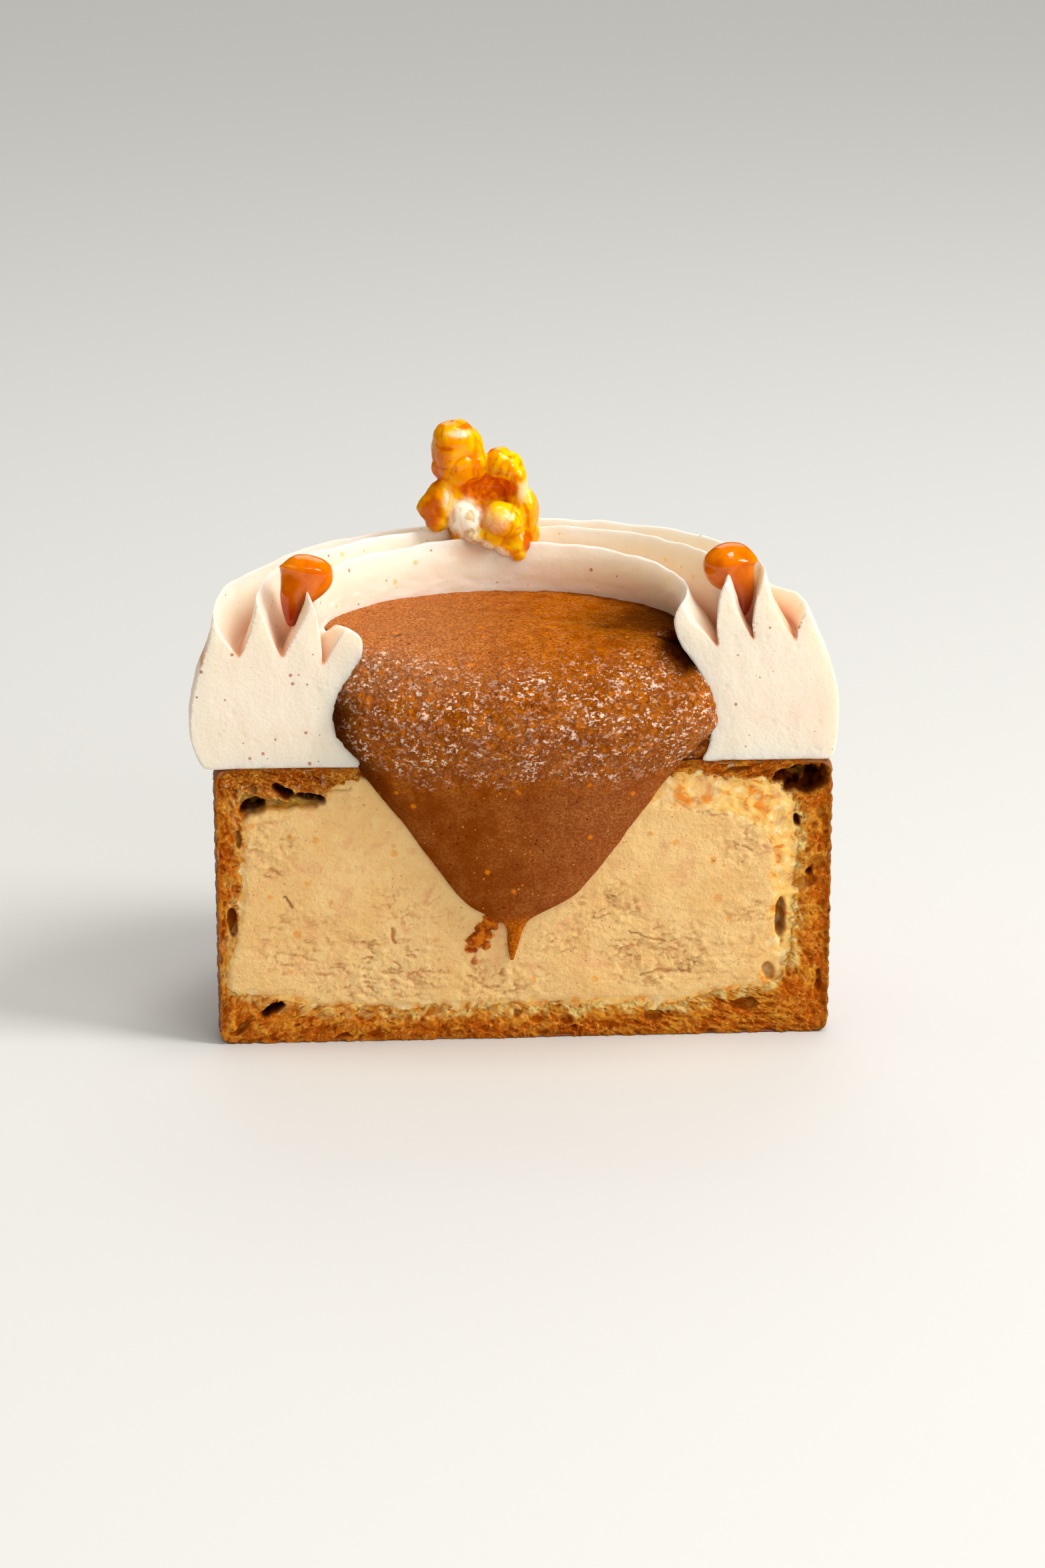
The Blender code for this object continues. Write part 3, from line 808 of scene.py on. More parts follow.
def crumb_front():
    """Points of the torn frame, with marks for pits, holes, and the distance to the skin."""
    across, upward, length = square_walk(CRUMB_AROUND, OUTER["half"])
    outer_x, outer_z = pillow(across, upward, **OUTER)
    inner_x, inner_z = pillow(across, upward, **INNER)
    share = np.linspace(0.0, 1.0, CRUMB_ACROSS)[:, None]
    ragged = 0.28 * fractal(xyz(outer_x, 0.0, outer_z), 1.3, 3, 7) * ease(0.3, 0.0, share)
    sideways = ease(0.7, 1.0, np.abs(across)) * np.sign(across)
    endways = ease(0.8, 1.0, np.abs(upward)) * np.sign(upward)
    x = outer_x + (inner_x - outer_x) * share + ragged * sideways
    z = np.maximum(outer_z + (inner_z - outer_z) * share + ragged * endways, 0.02)
    inward = share * np.hypot(inner_x - outer_x, inner_z - outer_z)
    pit = sponge(length, inward)
    torn = 0.22 * (1.0 + fractal(xyz(x, 0.0, z), 3.0, 4, 5))
    hole, inside = bubble_depth(x, z)
    past = past_crumb(x, z)
    depth = 0.05 + torn * ease(0.0, 0.8, inward) + pit * (1.0 - 0.7 * inside) + hole
    depth = depth + 2.2 * ease(0.0, 1.0, past)
    points = xyz(x, CUT + np.minimum(depth, 6.5), z)
    marks = {"pit": np.minimum(pit, 1.0), "hole": inside, "inward": inward,
             "past": ease(-3.6, 0.6, past)}
    return points, marks


def choux_crumb():
    """The torn frame closed to a slab: down the inner side, across the back, up the skin."""
    front, marks = crumb_front()
    middle = np.array([0.0, 0.0, 0.5 * CAKE_HEIGHT])
    layers = []
    for row, depth, drawn_in in SLAB:
        layer = middle + (front[row] - middle) * [drawn_in, 1.0, drawn_in]
        layer[:, 1] = np.maximum(CUT + depth, layer[:, 1] + 0.2)
        layers.append(layer)
    points = np.concatenate([front, layers])
    number = grid_numbers(*points.shape[:2])
    faces = [grid_faces(number, round_columns=True), strip_faces(number[-1], number[0])]
    hidden = {"pit": 0.6, "hole": 0.0, "inward": 3.0, "past": 0.0}
    filled = {label: np.vstack([values, np.full(points[len(front):, :, 0].shape, hidden[label])])
              for label, values in marks.items()}
    return points.reshape(-1, 3), faces, filled


print("the frame's grid: %d by %d points" % (CRUMB_ACROSS, CRUMB_AROUND))

# %% [markdown]
# ## The crumb's finish
#
# Torn choux is orange-brown and open: darkest at the crust, amber and pale yellow where the
# filling has soaked it. Deep in its bubbles and holes it is dark with painted shade. Painting
# that by hand would take a picture, so each tone and each painted shade is a coat whose mask
# is the pit's depth, the distance to the skin, or how near the filling is, all broken up by
# noise. The coordinates in the masks are metres.

# %% Finish of the crumb
def crumb_finish():
    """Brown torn crumb with painted shade in its pits and holes, darkest at the crust, pale near
    the filling.
    """
    made = Finish("torn_crumb", Roughness=0.55, Specular_IOR_Level=0.05, Subsurface_Weight=0.25,
                  Subsurface_Radius=(0.003, 0.0009, 0.0003))
    height, along = made.axis("Z"), made.axis("X")
    broad = made.noise(2.6, 4.0, 0.62, 0.4)
    fine = made.noise(0.42, 5.0, 0.75, 0.4)
    depth = made.sum(made.mark("pit"), made.times(made.noise(0.7, 4.0, 0.65), 0.5))
    made.colour = made.blend(made.band(broad, 0.40, 0.62), (212, 104, 8), (244, 158, 44))
    made.over(made.band(fine, 0.52, 0.68, 0.0, 0.9), (255, 196, 104))
    made.over(made.band(fine, 0.48, 0.34, 0.0, 0.8), (160, 68, 0))
    # painted shade: darker the deeper the pit
    made.over(made.band(depth, 0.55, 0.90, 0.0, 0.8), (196, 86, 0))
    made.over(made.band(depth, 0.95, 1.35, 0.0, 0.9), (112, 38, 0))
    # the darker crust of the lid, strongest on the left, and of the base
    crust = made.times(made.band(height, 0.0295, 0.0345),
                       made.band(along, -0.024, 0.024, 1.0, 0.45))
    crust = made.sum(crust, made.band(height, 0.0030, 0.0006, 0.0, 0.4))
    made.over(made.times(crust, made.band(fine, 0.42, 0.58, 0.65, 0.1)), (128, 50, 0))
    # amber, then pale and moist crumb towards the filling, more of it on the right; the amber is
    # darker in the deeper pits, a painted shade
    patch = made.sum(made.mark("past"), made.times(broad, 1.5))
    below_lid = made.band(height, 0.0352, 0.0330)
    amber_and_shade = made.blend(made.band(depth, 0.50, 0.95), (240, 158, 48), (196, 92, 4))
    soaked = made.times(made.band(patch, 0.90, 1.30, 0.0, 0.8),
                        made.band(along, -0.036, 0.010, 0.25, 1.0))
    made.over(made.times(soaked, below_lid), amber_and_shade)
    pale = made.blend(made.band(made.noise(1.3, 4.0, 0.62, 0.4), 0.40, 0.60),
                      (232, 150, 44), (255, 214, 132))
    # the pale crumb is darker in deep pits too, a painted shade
    pale = made.blend(made.band(depth, 0.62, 1.05, 0.0, 0.85), pale, (206, 112, 14))
    moist = made.times(made.band(patch, 1.15, 1.60), made.band(along, -0.034, 0.010, 0.5, 1.0))
    made.over(made.times(moist, below_lid), pale)
    pores = made.specks(0.6, 0.06, 0.18, 0.3)
    made.over(pores, (116, 44, 0), 0.6)
    # cream dragged under the lid
    smear = made.times(made.band(made.noise(0.9, 4.0, 0.6), 0.60, 0.64),
                       made.band(made.noise(7.0, 2.0), 0.5, 0.6))
    made.over(made.times(smear, made.band(height, 0.0335, 0.0350)), (236, 198, 160), 0.85)
    # painted shade in the named holes: brown at their edge, nearly black deep inside
    made.over(made.band(made.mark("hole"), 0.0, 0.5), (158, 76, 4))
    inner = made.blend(made.band(made.noise(1.3, 3.0), 0.42, 0.6), (44, 8, 0), (126, 50, 2))
    made.over(made.band(made.mark("hole"), 0.3, 1.0), inner)
    made.over(made.band(made.mark("inward"), 1.2, 0.1), (164, 76, 6), 0.5)
    return made.finished(Normal=made.raised(made.sum(fine, made.times(pores, -0.4)), 0.40))


points, faces, marks = choux_crumb()
add_piece("choux_crumb", points, faces, "choux_shell", "crust", crumb_finish(), marks)

# %% [markdown]
# ## The praline cream filling
#
# The filling is stiff cream that the knife dragged: smooth in the middle, torn into lumps
# and ledges low down. A smooth plane with a bump would keep a straight edge against the
# crumb, so the front is a flat grid pulled onto a squarish pillow, and each point is pushed
# back by broad waves, by ledges and fine creases that run across it, by lumps and by a few
# named cracks. To the right and above, a pale moist web of dough lies between cream and
# crumb, and in the upper left corner the cream stops short and leaves a hollow. Beside the
# drip of praline, the knife left a smear.

# %% Relief of the filling
CRACKS = [      # from x and z to x and z, half width, depth
    (-31.2, 19.9, -30.2, 18.6, 0.24, 0.7), (-17.5, 15.0, -16.8, 13.4, 0.26, 0.7),
    (13.2, 14.4, 18.2, 12.9, 0.16, 0.5), (15.0, 8.6, 21.4, 8.9, 0.18, 0.6),
    (-24.6, 33.9, -22.4, 34.4, 0.14, 0.5), (28.2, 25.6, 29.6, 25.3, 0.12, 0.4),
    (22.0, 30.4, 26.0, 29.8, 0.10, 0.35)]
LUMPS = [       # middle x and z, half width, half height, how much is torn there
    (-33.0, 26.5, 4.0, 5.0, 0.9), (-19.0, 10.0, 11.5, 5.5, 1.0), (-30.0, 13.0, 7.0, 7.0, 0.6),
    (18.0, 11.0, 10.0, 5.0, 0.9), (-3.0, 8.0, 8.0, 3.5, 0.9), (11.0, 17.5, 6.0, 4.0, 0.8),
    (28.5, 26.0, 4.0, 4.0, 0.7), (4.0, 13.0, 6.0, 3.0, 0.6), (-14.0, 18.0, 7.0, 5.0, 0.6),
    (29.0, 15.0, 4.5, 7.0, 0.5)]
SMEAR = [       # the same, for the praline dragged beside the drip
    (-2.6, 17.7, 1.1, 1.1, 1.0), (-3.5, 17.0, 1.3, 1.3, 1.0), (-4.5, 16.0, 1.2, 1.2, 0.9),
    (-5.3, 14.9, 1.3, 1.3, 1.0), (-6.3, 13.6, 1.3, 1.3, 1.0), (-7.1, 12.4, 1.0, 1.0, 0.7),
    (-5.1, 12.9, 0.8, 0.8, 0.6), (-6.8, 10.6, 0.7, 0.7, 0.5)]


def patches(x, z, table, start, end, rough=0.0):
    """The strongest of a table's soft ellipses at each place, from 0 to 1.

    |p - middle| / half sizes, plus the roughness, is 1 on an ellipse's edge. Its strength
    grows smoothly from none at start to all of it at end.
    """
    shown = np.zeros_like(x)
    for middle_x, middle_z, half_x, half_z, much in table:
        away = np.hypot((x - middle_x) / half_x, (z - middle_z) / half_z) + rough
        shown = np.maximum(shown, much * ease(start, end, away))
    return shown


def crack_depth(x, z):
    """Depth of the named cracks: a groove with a ragged edge round each line."""
    deepest = np.zeros_like(x)
    ragged = 1.0 + 0.7 * fractal(xyz(x, 0.0, z), 0.9, 3, 28)
    x = x + 0.7 * fractal(xyz(x, 0.0, z), 1.6, 4, 25)
    z = z + 0.7 * fractal(xyz(x, 5.0, z), 1.6, 4, 25)
    for x0, z0, x1, z1, width, depth in CRACKS:
        run_x, run_z = x1 - x0, z1 - z0
        t = np.clip(((x - x0) * run_x + (z - z0) * run_z) / (run_x ** 2 + run_z ** 2), 0.0, 1.0)
        away = np.hypot(x - x0 - t * run_x, z - z0 - t * run_z)
        deepest = np.maximum(deepest, depth * ease(1.1, 0.3, away / width * ragged))
    return deepest


print("lumps, cracks and spots of smear:", len(LUMPS), len(CRACKS), len(SMEAR))

# %% The filling's relief, and marks for its finish
SMOOTH_TORN = 0.18                       # how torn the cream is where it looks smooth


def filling_relief(x, z):
    """Depth behind the cut, and marks: moist web, painted shade in the holes, the upper left
    hollow, painted shade in ledges, creases and cracks, and the smear.

    Ledges are the fraction of a wavy level, to the fourth power; a crease runs where noise
    crosses 0. Both show only in patches, and mostly where the knife tore the cream.
    """
    flat = xyz(x, 0.0, z)
    torn = np.maximum(SMOOTH_TORN, patches(x, z, LUMPS, 1.25, 0.4))
    level = z / 1.5 + 2.2 * fractal(flat * [0.6, 1.0, 1.0], 3.6, 5, 22)
    gate = ease(-0.05, 0.30, drift(flat * [0.8, 1.0, 1.2], 1.9, 24))
    ledge = gate * (level - np.floor(level)) ** 4
    lump = 1.0 - np.abs(fractal(flat * [0.75, 1.0, 1.1], 1.3, 4, 23)) * 3.2
    crumbs = np.abs(fractal(flat * [0.8, 1.0, 1.0], 0.8, 3, 30))
    patchy = ease(-0.10, 0.25, drift(flat, 2.6, 32))
    crease = 1.0 - ease(0.0, 0.11, np.abs(fractal(flat * [0.7, 1.0, 1.3], 2.0, 4, 31)))
    crease = crease * patchy * torn
    cracks = crack_depth(x, z)
    depth = 0.30 + 0.20 * fractal(flat, 6.0, 4, 21) + (0.05 + 0.20 * torn * patchy) * crumbs
    depth = depth + torn * (0.50 * ledge + 0.25 * lump) + 0.32 * crease + cracks
    # the moist web: soft folds with thin sheets between them
    core = inside_core(x, z) + fractal(flat, 2.8, 4, 26)
    moist = ease(0.35, -0.45, core)
    web = fractal(flat * [0.8, 1.0, 1.1], 3.0, 2, 27)
    sheet = 1.0 - ease(0.0, 0.25, np.abs(web))
    depth = depth + moist * (0.15 + 0.6 * (0.5 + 0.5 * web) - 0.2 * sheet)
    # the hollow in the upper left corner, and the bubbles that reach into the filling
    hollow = ease(-25.5, -27.5, x) * ease(29.5, 31.0, z) * ease(0.1, -0.6, core)
    near_edge = 1.0 - ease(0.6, 2.0, core)
    hole, inside = bubble_depth(x, z)
    depth = depth + 1.9 * hollow + hole * near_edge
    # it draws back under the crumb's edge; the smear lies on top of all
    past = past_crumb(x, z)
    depth = depth + 0.10 * ease(1.5, 0.0, past) + 1.3 * ease(0.0, -1.0, past)
    rough = 0.9 * fractal(flat, 1.1, 4, 29)
    smear = patches(x, z, SMEAR, 1.25, 0.5, rough)
    depth = depth - 0.55 * ease(0.75, 1.0, smear)
    # painted shade in the torn ledges, creases and cracks
    crease_shade = np.clip(torn * ledge + crease + cracks, 0.0, 1.0)
    return depth, {"moist": moist, "hollow": inside * near_edge, "smear": smear,
                   "green": hollow, "crease_shade": crease_shade}


print("depth in the middle: %.2f mm" % filling_relief(np.zeros(1), np.full(1, 20.0))[0][0])

# %% The filling's surface
FILL = dict(middle=(-0.7, 19.6), half=(38.6, 16.5), squareness=14.0)
FILL_COLUMNS, FILL_ROWS = 430, 180
DRUM_BACK = 35.5                         # how far back the filling reaches
DRUM_TURNS = np.radians([6.0, 14.0, 24.0, 36.0, 48.0, 60.0, 72.0, 82.0])


def filling():
    """The torn front, and behind it the half drum that the shell holds.

    Behind the front, each ring is the front's border drawn in sideways by cos and moved
    back by sin, as on a drum, and the last ring closes on a pole.
    """
    across, upward = np.meshgrid(np.linspace(-1, 1, FILL_COLUMNS), np.linspace(-1, 1, FILL_ROWS))
    x, z = pillow(across, upward, **FILL)
    depth, marks = filling_relief(x, z)
    border = ease(0.985, 1.0, np.maximum(np.abs(across), np.abs(upward)))
    front = xyz(x, CUT + np.minimum(depth, 6.0) + 0.6 * border, z).reshape(-1, 3)
    number = grid_numbers(*x.shape)
    ring = np.concatenate([number[0, :-1], number[:-1, -1], number[-1, :0:-1], number[:0:-1, 0]])
    edge = front[ring]
    layers = [xyz(edge[:, 0] * math.cos(turn),
                  np.maximum(edge[:, 1] + 0.3, CUT + (DRUM_BACK - CUT) * math.sin(turn)),
                  edge[:, 2]) for turn in DRUM_TURNS]
    points = np.vstack([front, *layers, [[0.0, DRUM_BACK, 19.0]]])
    return points, [grid_faces(number), *closing_faces(ring, x.size, len(layers))], marks


print("the filling's front: %d by %d points" % (FILL_ROWS, FILL_COLUMNS))

# %% [markdown]
# ## The filling's finish
#
# The cream is tan and soft, with ground nuts in it. One flat tan would look like plastic, so
# clouds, specks and a warm painted shade in the torn ledges, creases and cracks are laid over
# each other. The web, the hollow, the painted shade in the holes and the smear are more coats,
# each shown by its own mark.

# %% Finish of the filling
def filling_finish():
    """Tan cream with nut specks, a moist yellow web round it, and an orange smear."""
    made = Finish("praline_cream", Roughness=0.55, Specular_IOR_Level=0.15,
                  Subsurface_Weight=0.25, Subsurface_Radius=(0.004, 0.0022, 0.0010))
    broad = made.band(made.noise(6.0, 3.0, 0.5), 0.35, 0.68)
    made.colour = made.blend(broad, (246, 197, 127), (252, 208, 140))
    made.over(made.band(made.noise(2.2, 4.0, 0.6), 0.48, 0.7), (254, 216, 146), 0.6)
    made.over(made.band(made.noise(3.1, 4.0, 0.65, 0.5), 0.54, 0.68), (238, 172, 118), 0.5)
    # painted shade in the torn ledges, creases and cracks
    made.over(made.mark("crease_shade"), (208, 138, 74), 0.5)
    fine = made.noise(0.38, 4.0, 0.7)
    made.over(made.band(fine, 0.56, 0.74, 0.0, 0.3), (220, 152, 90))
    made.speckle((1.5, 0.05, 0.20, 0.45, (150, 72, 28), 0.7),
                 (2.6, 0.15, 0.55, 0.4, (240, 154, 50), 0.6),
                 (1.0, 0.04, 0.11, 0.5, (140, 80, 46), 0.7),
                 (4.0, 0.12, 0.26, 0.5, (186, 64, 24), 0.7))
    web = made.noise(2.2, 5.0, 0.62, 0.8)
    yellow = made.blend(made.band(web, 0.37, 0.50), (228, 134, 30), (252, 198, 108))
    yellow = made.blend(made.band(web, 0.52, 0.66), yellow, (255, 226, 168))
    grey = made.band(made.noise(3.4, 3.0, 0.55, 0.4), 0.53, 0.60)
    yellow = made.blend(made.times(grey, 0.5), yellow, (214, 172, 120))
    moist = made.mark("moist")
    made.over(moist, yellow, 0.95)
    green = made.blend(made.band(made.noise(1.6, 3.0), 0.4, 0.6), (136, 88, 0), (222, 180, 40))
    made.over(made.mark("green"), green, 0.8)
    # painted shade in the holes that reach into the filling
    dark = made.blend(made.band(made.noise(1.3, 3.0), 0.42, 0.6), (50, 12, 0), (150, 92, 10))
    made.over(made.mark("hollow"), dark)
    orange = made.blend(made.band(made.noise(0.9, 4.0, 0.6), 0.42, 0.6), (154, 62, 0),
                        (216, 116, 8))
    made.over(made.band(made.mark("smear"), 0.12, 0.6), orange)
    grain = made.sum(made.times(fine, 0.8), made.noise(1.1, 4.0, 0.6))
    bump = made.raised(made.times(grain, made.band(moist, 0.0, 1.0, 1.0, 0.35)), 0.36)
    return made.finished(Normal=bump, Roughness=made.band(moist, 0.0, 1.0, 0.55, 0.38))


points, faces, marks = filling()
add_piece("praline_cream_filling", points, faces, "filling", "mousseline", filling_finish(),
          marks)

# %% [markdown]
# ## The piped ring of whipped cream
#
# A star nozzle pushes out a strand with sharp ridges, and the baker leads it once round the
# cake. A curve with a star for its bevel would give even ridges. Here the ridges differ and
# wander, so the ring is a profile carried along a half circle, and the profile changes on
# its way: as the strand travels the ridges move inwards, so that they cross the ring on a
# slant. Two profiles are drawn, one for each cut end, ridge for ridge, and every section
# between them is a blend of the two.

# %% The two drawn profiles
CREAM_OFFSET = -0.9
GAP = 0.3                                # the cream rests this far above the crust's top
HIGHER, WIDER = 1.2, 2.8                 # half way round: the ridges, and the inner wall
PROFILE = np.array([    # left end: radius and height above the choux; right end: the same
    (20.00, 0.30, 24.30, 0.30), (20.71, 1.49, 24.65, 1.56), (22.67, 3.93, 25.06, 3.07),
    (23.36, 5.75, 25.24, 5.18), (23.47, 7.55, 25.22, 6.99), (23.17, 9.04, 24.75, 9.00),
    (22.29, 10.82, 24.40, 10.10), (21.28, 12.30, 24.12, 10.92),
    # ridge one, which runs out against the inner wall
    (20.80, 13.60, 23.95, 11.30), (20.25, 14.96, 23.80, 11.60), (20.09, 16.44, 23.65, 11.95),
    (20.36, 17.34, 23.50, 12.25), (20.92, 17.94, 23.35, 12.50), (21.76, 18.34, 23.20, 12.80),
    (22.47, 18.11, 23.00, 13.10), (23.34, 16.79, 22.75, 13.45), (24.21, 15.33, 22.45, 13.85),
    (25.09, 14.00, 22.00, 14.50),
    # ridge two, which curls inwards at the right end
    (25.20, 15.60, 21.30, 15.50), (25.42, 18.20, 20.55, 17.40), (25.86, 20.50, 20.36, 19.20),
    (26.52, 22.22, 21.24, 21.11), (27.00, 20.70, 21.75, 20.10), (27.95, 18.75, 22.60, 18.85),
    (29.32, 16.30, 24.20, 17.20), (30.25, 14.98, 25.79, 15.53),
    # ridge three
    (31.20, 16.75, 25.70, 17.70), (32.05, 19.20, 25.82, 20.50), (32.75, 21.00, 26.20, 22.60),
    (33.25, 22.14, 26.85, 23.54), (33.65, 20.20, 27.65, 22.00), (34.35, 17.70, 28.55, 19.40),
    (35.56, 15.16, 30.30, 16.35),
    # ridge four
    (36.60, 16.20, 30.22, 18.40), (37.75, 17.80, 30.55, 20.90), (38.35, 19.30, 31.15, 23.20),
    (38.69, 20.46, 31.63, 24.64), (39.10, 18.20, 32.15, 23.20), (39.62, 16.40, 32.95, 20.70),
    (40.30, 14.40, 35.60, 16.26),
    # ridge five, which is born on the outer side
    (40.60, 13.60, 36.05, 17.60), (40.81, 12.94, 36.65, 19.20), (41.10, 12.00, 37.36, 19.72),
    (41.38, 10.90, 38.32, 17.85), (41.68, 9.60, 39.38, 15.45), (41.86, 8.30, 40.45, 12.73),
    (42.00, 6.90, 41.24, 9.72), (42.02, 5.50, 41.49, 7.30), (41.89, 3.99, 41.42, 4.89),
    (41.22, 1.87, 41.29, 2.77), (40.60, 0.80, 40.97, 1.10), (39.80, 0.30, 40.30, 0.30),
    (36.00, 0.30, 37.00, 0.30), (31.00, 0.30, 33.00, 0.30), (25.50, 0.30, 28.00, 0.30)])
CRESTS = np.array([13.0, 21.0, 29.0, 36.0, 42.0])    # rows of the table that are crests
VALLEYS = np.array([7.0, 17.0, 25.0, 32.0, 39.0, 46.0])
RUNS_OUT = (5, 19)                       # rows between which ridge one runs out
PROFILE_STEPS = 4                        # points from one row of the table to the next
RING_STATIONS = 300


def through(table, at):
    """A smooth curve through a closed table's rows.

    Between rows b and c it is the cubic whose slope at each row is half the step from the
    row before to the row after: b + t/2·(c - a) + t²/2·(2a - 5b + 4c - d)
    + t³/2·(3b - a - 3c + d).
    """
    low = np.floor(at).astype(int)
    t = (at - low)[:, None]
    a, b, c, d = (table[(low + step) % len(table)] for step in (-1, 0, 1, 2))
    return (b + 0.5 * t * (c - a) + 0.5 * t ** 2 * (2 * a - 5 * b + 4 * c - d)
            + 0.5 * t ** 3 * (3 * b - a - 3 * c + d))


PROFILE_AT = np.arange(len(PROFILE) * PROFILE_STEPS) / PROFILE_STEPS
DRAWN = through(PROFILE, PROFILE_AT)
print("profile of the cream: %d points, five ridges" % len(DRAWN))

# %% Sections on the way round
def cream_section(share):
    """Radii, heights and ridge wave of the section at each share of the way round.

    The two profiles are blended by share. Half way round, the ridges stand HIGHER than the
    blend, and the inner wall lies further out by WIDER. Between the ends, ridge one runs
    out: its rows are drawn onto the straight line between the rows before and after it. The
    wave is 1 on a crest and 0 in a valley.
    """
    share = np.atleast_1d(share)[:, None]
    radius = DRAWN[:, 0] + share * (DRAWN[:, 2] - DRAWN[:, 0])
    height = DRAWN[:, 1] + share * (DRAWN[:, 3] - DRAWN[:, 1])
    turning = np.sort(np.concatenate([CRESTS, VALLEYS]))
    wave = np.interp(PROFILE_AT, turning, np.isin(turning, CRESTS).astype(float), 0.0, 0.0)
    wave = wave * ease(8.0, 14.0, height)
    half_way = np.sin(math.pi * share)
    height = height + HIGHER * half_way * wave
    radius = radius + WIDER * half_way * ease(31.0, 24.0, radius)
    part = np.clip((PROFILE_AT - RUNS_OUT[0]) / (RUNS_OUT[1] - RUNS_OUT[0]), 0.0, 1.0)
    gone = ((part > 0.0) & (part < 1.0)) * ease(0.03, 0.16, share) * ease(1.0, 0.85, share)
    low, high = (row * PROFILE_STEPS for row in RUNS_OUT)
    for values in (radius, height):
        straight = (1.0 - part) * values[:, low:low + 1] + part * values[:, high:high + 1]
        values += gone * (straight - values)
    return radius, height, wave * (1.0 - gone)


def round_ring(share, radius, height):
    """Points on the half ring; every radius starts and ends exactly on the cut."""
    past = np.arcsin(-CUT / radius)
    angle = (math.pi + past) - share * (math.pi + 2.0 * past)
    return xyz(CREAM_OFFSET + radius * np.cos(angle), radius * np.sin(angle), CAKE_HEIGHT + height)


print("half way round, the cream is %.1f mm high" % cream_section(0.5)[1].max())

# %% The cut ends
CAP_PITCH = 0.3                          # distance between the points of a cut end


def knife_depth(points):
    """How far the knife dragged the cream in, at places on the cut: up to about 0.4 mm.

    Slow waves, stretched upwards, and a few small torn pores.
    """
    flat = points * [1.0, 0.0, 1.0]
    near, _, number = cells(flat, 1.3, 32)
    pores = ease(0.32, 0.1, near) * (number > 0.7)
    return 0.14 * (1.0 + fractal(flat * [1.0, 1.0, 0.6], 2.4, 4, 31)) + 0.16 * pores


def inside_outline(spots, outline):
    """True where a spot lies in a closed outline: a ray to the right crosses it oddly often."""
    x, z = spots[:, None, 0], spots[:, None, 1]
    x0, z0 = outline[None, :, 0], outline[None, :, 1]
    x1, z1 = np.roll(x0, -1, axis=1), np.roll(z0, -1, axis=1)
    spans = (z0 > z) != (z1 > z)
    crossing = x0 + (z - z0) * (x1 - x0) / np.where(spans, z1 - z0, 1.0)
    return (spans & (x < crossing)).sum(axis=1) % 2 == 1


def cut_end(outline):
    """Triangles over a cut end: evenly spread inner points, joined to the outline.

    The points are triangulated so that no point lies in the circle round another's triangle.
    """
    flat = outline[:, [0, 2]]
    low, high = flat.min(axis=0), flat.max(axis=0)
    rows = np.arange(low[1], high[1], CAP_PITCH * math.sqrt(0.75))
    columns = np.arange(low[0], high[0], CAP_PITCH)
    x = columns[None, :] + 0.5 * CAP_PITCH * (np.arange(rows.size) % 2)[:, None]
    spots = np.stack([x, np.broadcast_to(rows[:, None], x.shape)], axis=-1).reshape(-1, 2)
    away = np.linalg.norm(spots[:, None] - flat[None], axis=-1).min(axis=1)
    spots = spots[inside_outline(spots, flat) & (away > 0.7 * CAP_PITCH)]
    everything = np.vstack([flat, spots])
    result = delaunay_2d_cdt(everything.tolist(), [], [list(range(len(flat)))], 1, 1e-6)
    return spots, np.array(result[2])


print("how far the knife dragged the cream at one place: %.2f mm"
      % knife_depth(np.array([[-35.0, CUT, 45.0]]))[0])

# %% The ring's surface
# middle and half sizes of the painted shadow that the popcorn casts on the cream
UNDER_POPCORN = np.array([-5.6, 27.6, CAKE_HEIGHT + 21.8]), np.array([5.2, 3.2, 2.6])
INNER_ROWS = 22.0                        # rows up to here are folds at the left end alone


def piped_cream():
    """Sections along the half circle, closed by two cut ends.

    Between the ends, drag marks up to 0.3 mm deep run along the ridges. Near the cut every
    point moves back by the knife's depth, so that ends and sides meet.
    """
    span = np.linspace(0.0, 1.0, RING_STATIONS)[:, None]
    radius, height, wave = cream_section(span[:, 0])
    drag = 0.24 * drift(xyz(span * 40.0, radius, height), 1.5, 33) * ease(0.25, 0.9, wave)
    slow = 0.35 * drift(xyz(span * 14.0, radius * 0.2, 0.0), 1.0, 34) * wave
    fade = ease(0.0, 0.03, span) * ease(1.0, 0.97, span)
    height = height + (drag + slow) * fade * ease(1.0, 3.0, height)
    rough = fractal(xyz(span * 60.0, radius * 1.5, height * 1.5), 2.0, 3, 35)
    radius = radius + 0.15 * fade * rough
    body = round_ring(span, radius, height)
    body[..., 1] += knife_depth(body) * ease(2.5, 0.0, body[..., 1] - CUT)
    rows, columns = body.shape[:2]
    number = grid_numbers(rows, columns)
    points, total = [body.reshape(-1, 3)], number.size
    faces = [grid_faces(number, round_columns=True)]
    for row in (0, rows - 1):
        spots, triangles = cut_end(body[row])
        inner = xyz(spots[:, 0], CUT, spots[:, 1])
        inner[:, 1] += knife_depth(inner)
        numbers = np.concatenate([number[row], total + np.arange(len(spots))])
        facing = volume_of(np.vstack([body[row], inner]) + [0.0, 50.0, 0.0], [triangles])
        faces.append(numbers[triangles if facing < 0 else triangles[:, ::-1]])
        points.append(inner)
        total += len(spots)
    everything = np.vstack(points)
    folded = np.where(PROFILE_AT < INNER_ROWS, ease(0.14, 0.02, span), 1.0)
    # painted shade in the deep folds, and the painted shadow of the popcorn
    valley_shade = (1.0 - wave) ** 3.4 * ease(11.0, 14.0, height) * folded
    away = np.linalg.norm((everything - UNDER_POPCORN[0]) / UNDER_POPCORN[1], axis=1)
    marks = {"cut": np.arange(total) >= number.size, "valley_shade": valley_shade,
             "under": ease(1.2, 0.2, away)}
    return everything, faces, marks


print("the ring's grid: %d by %d points" % (RING_STATIONS, len(PROFILE_AT)))
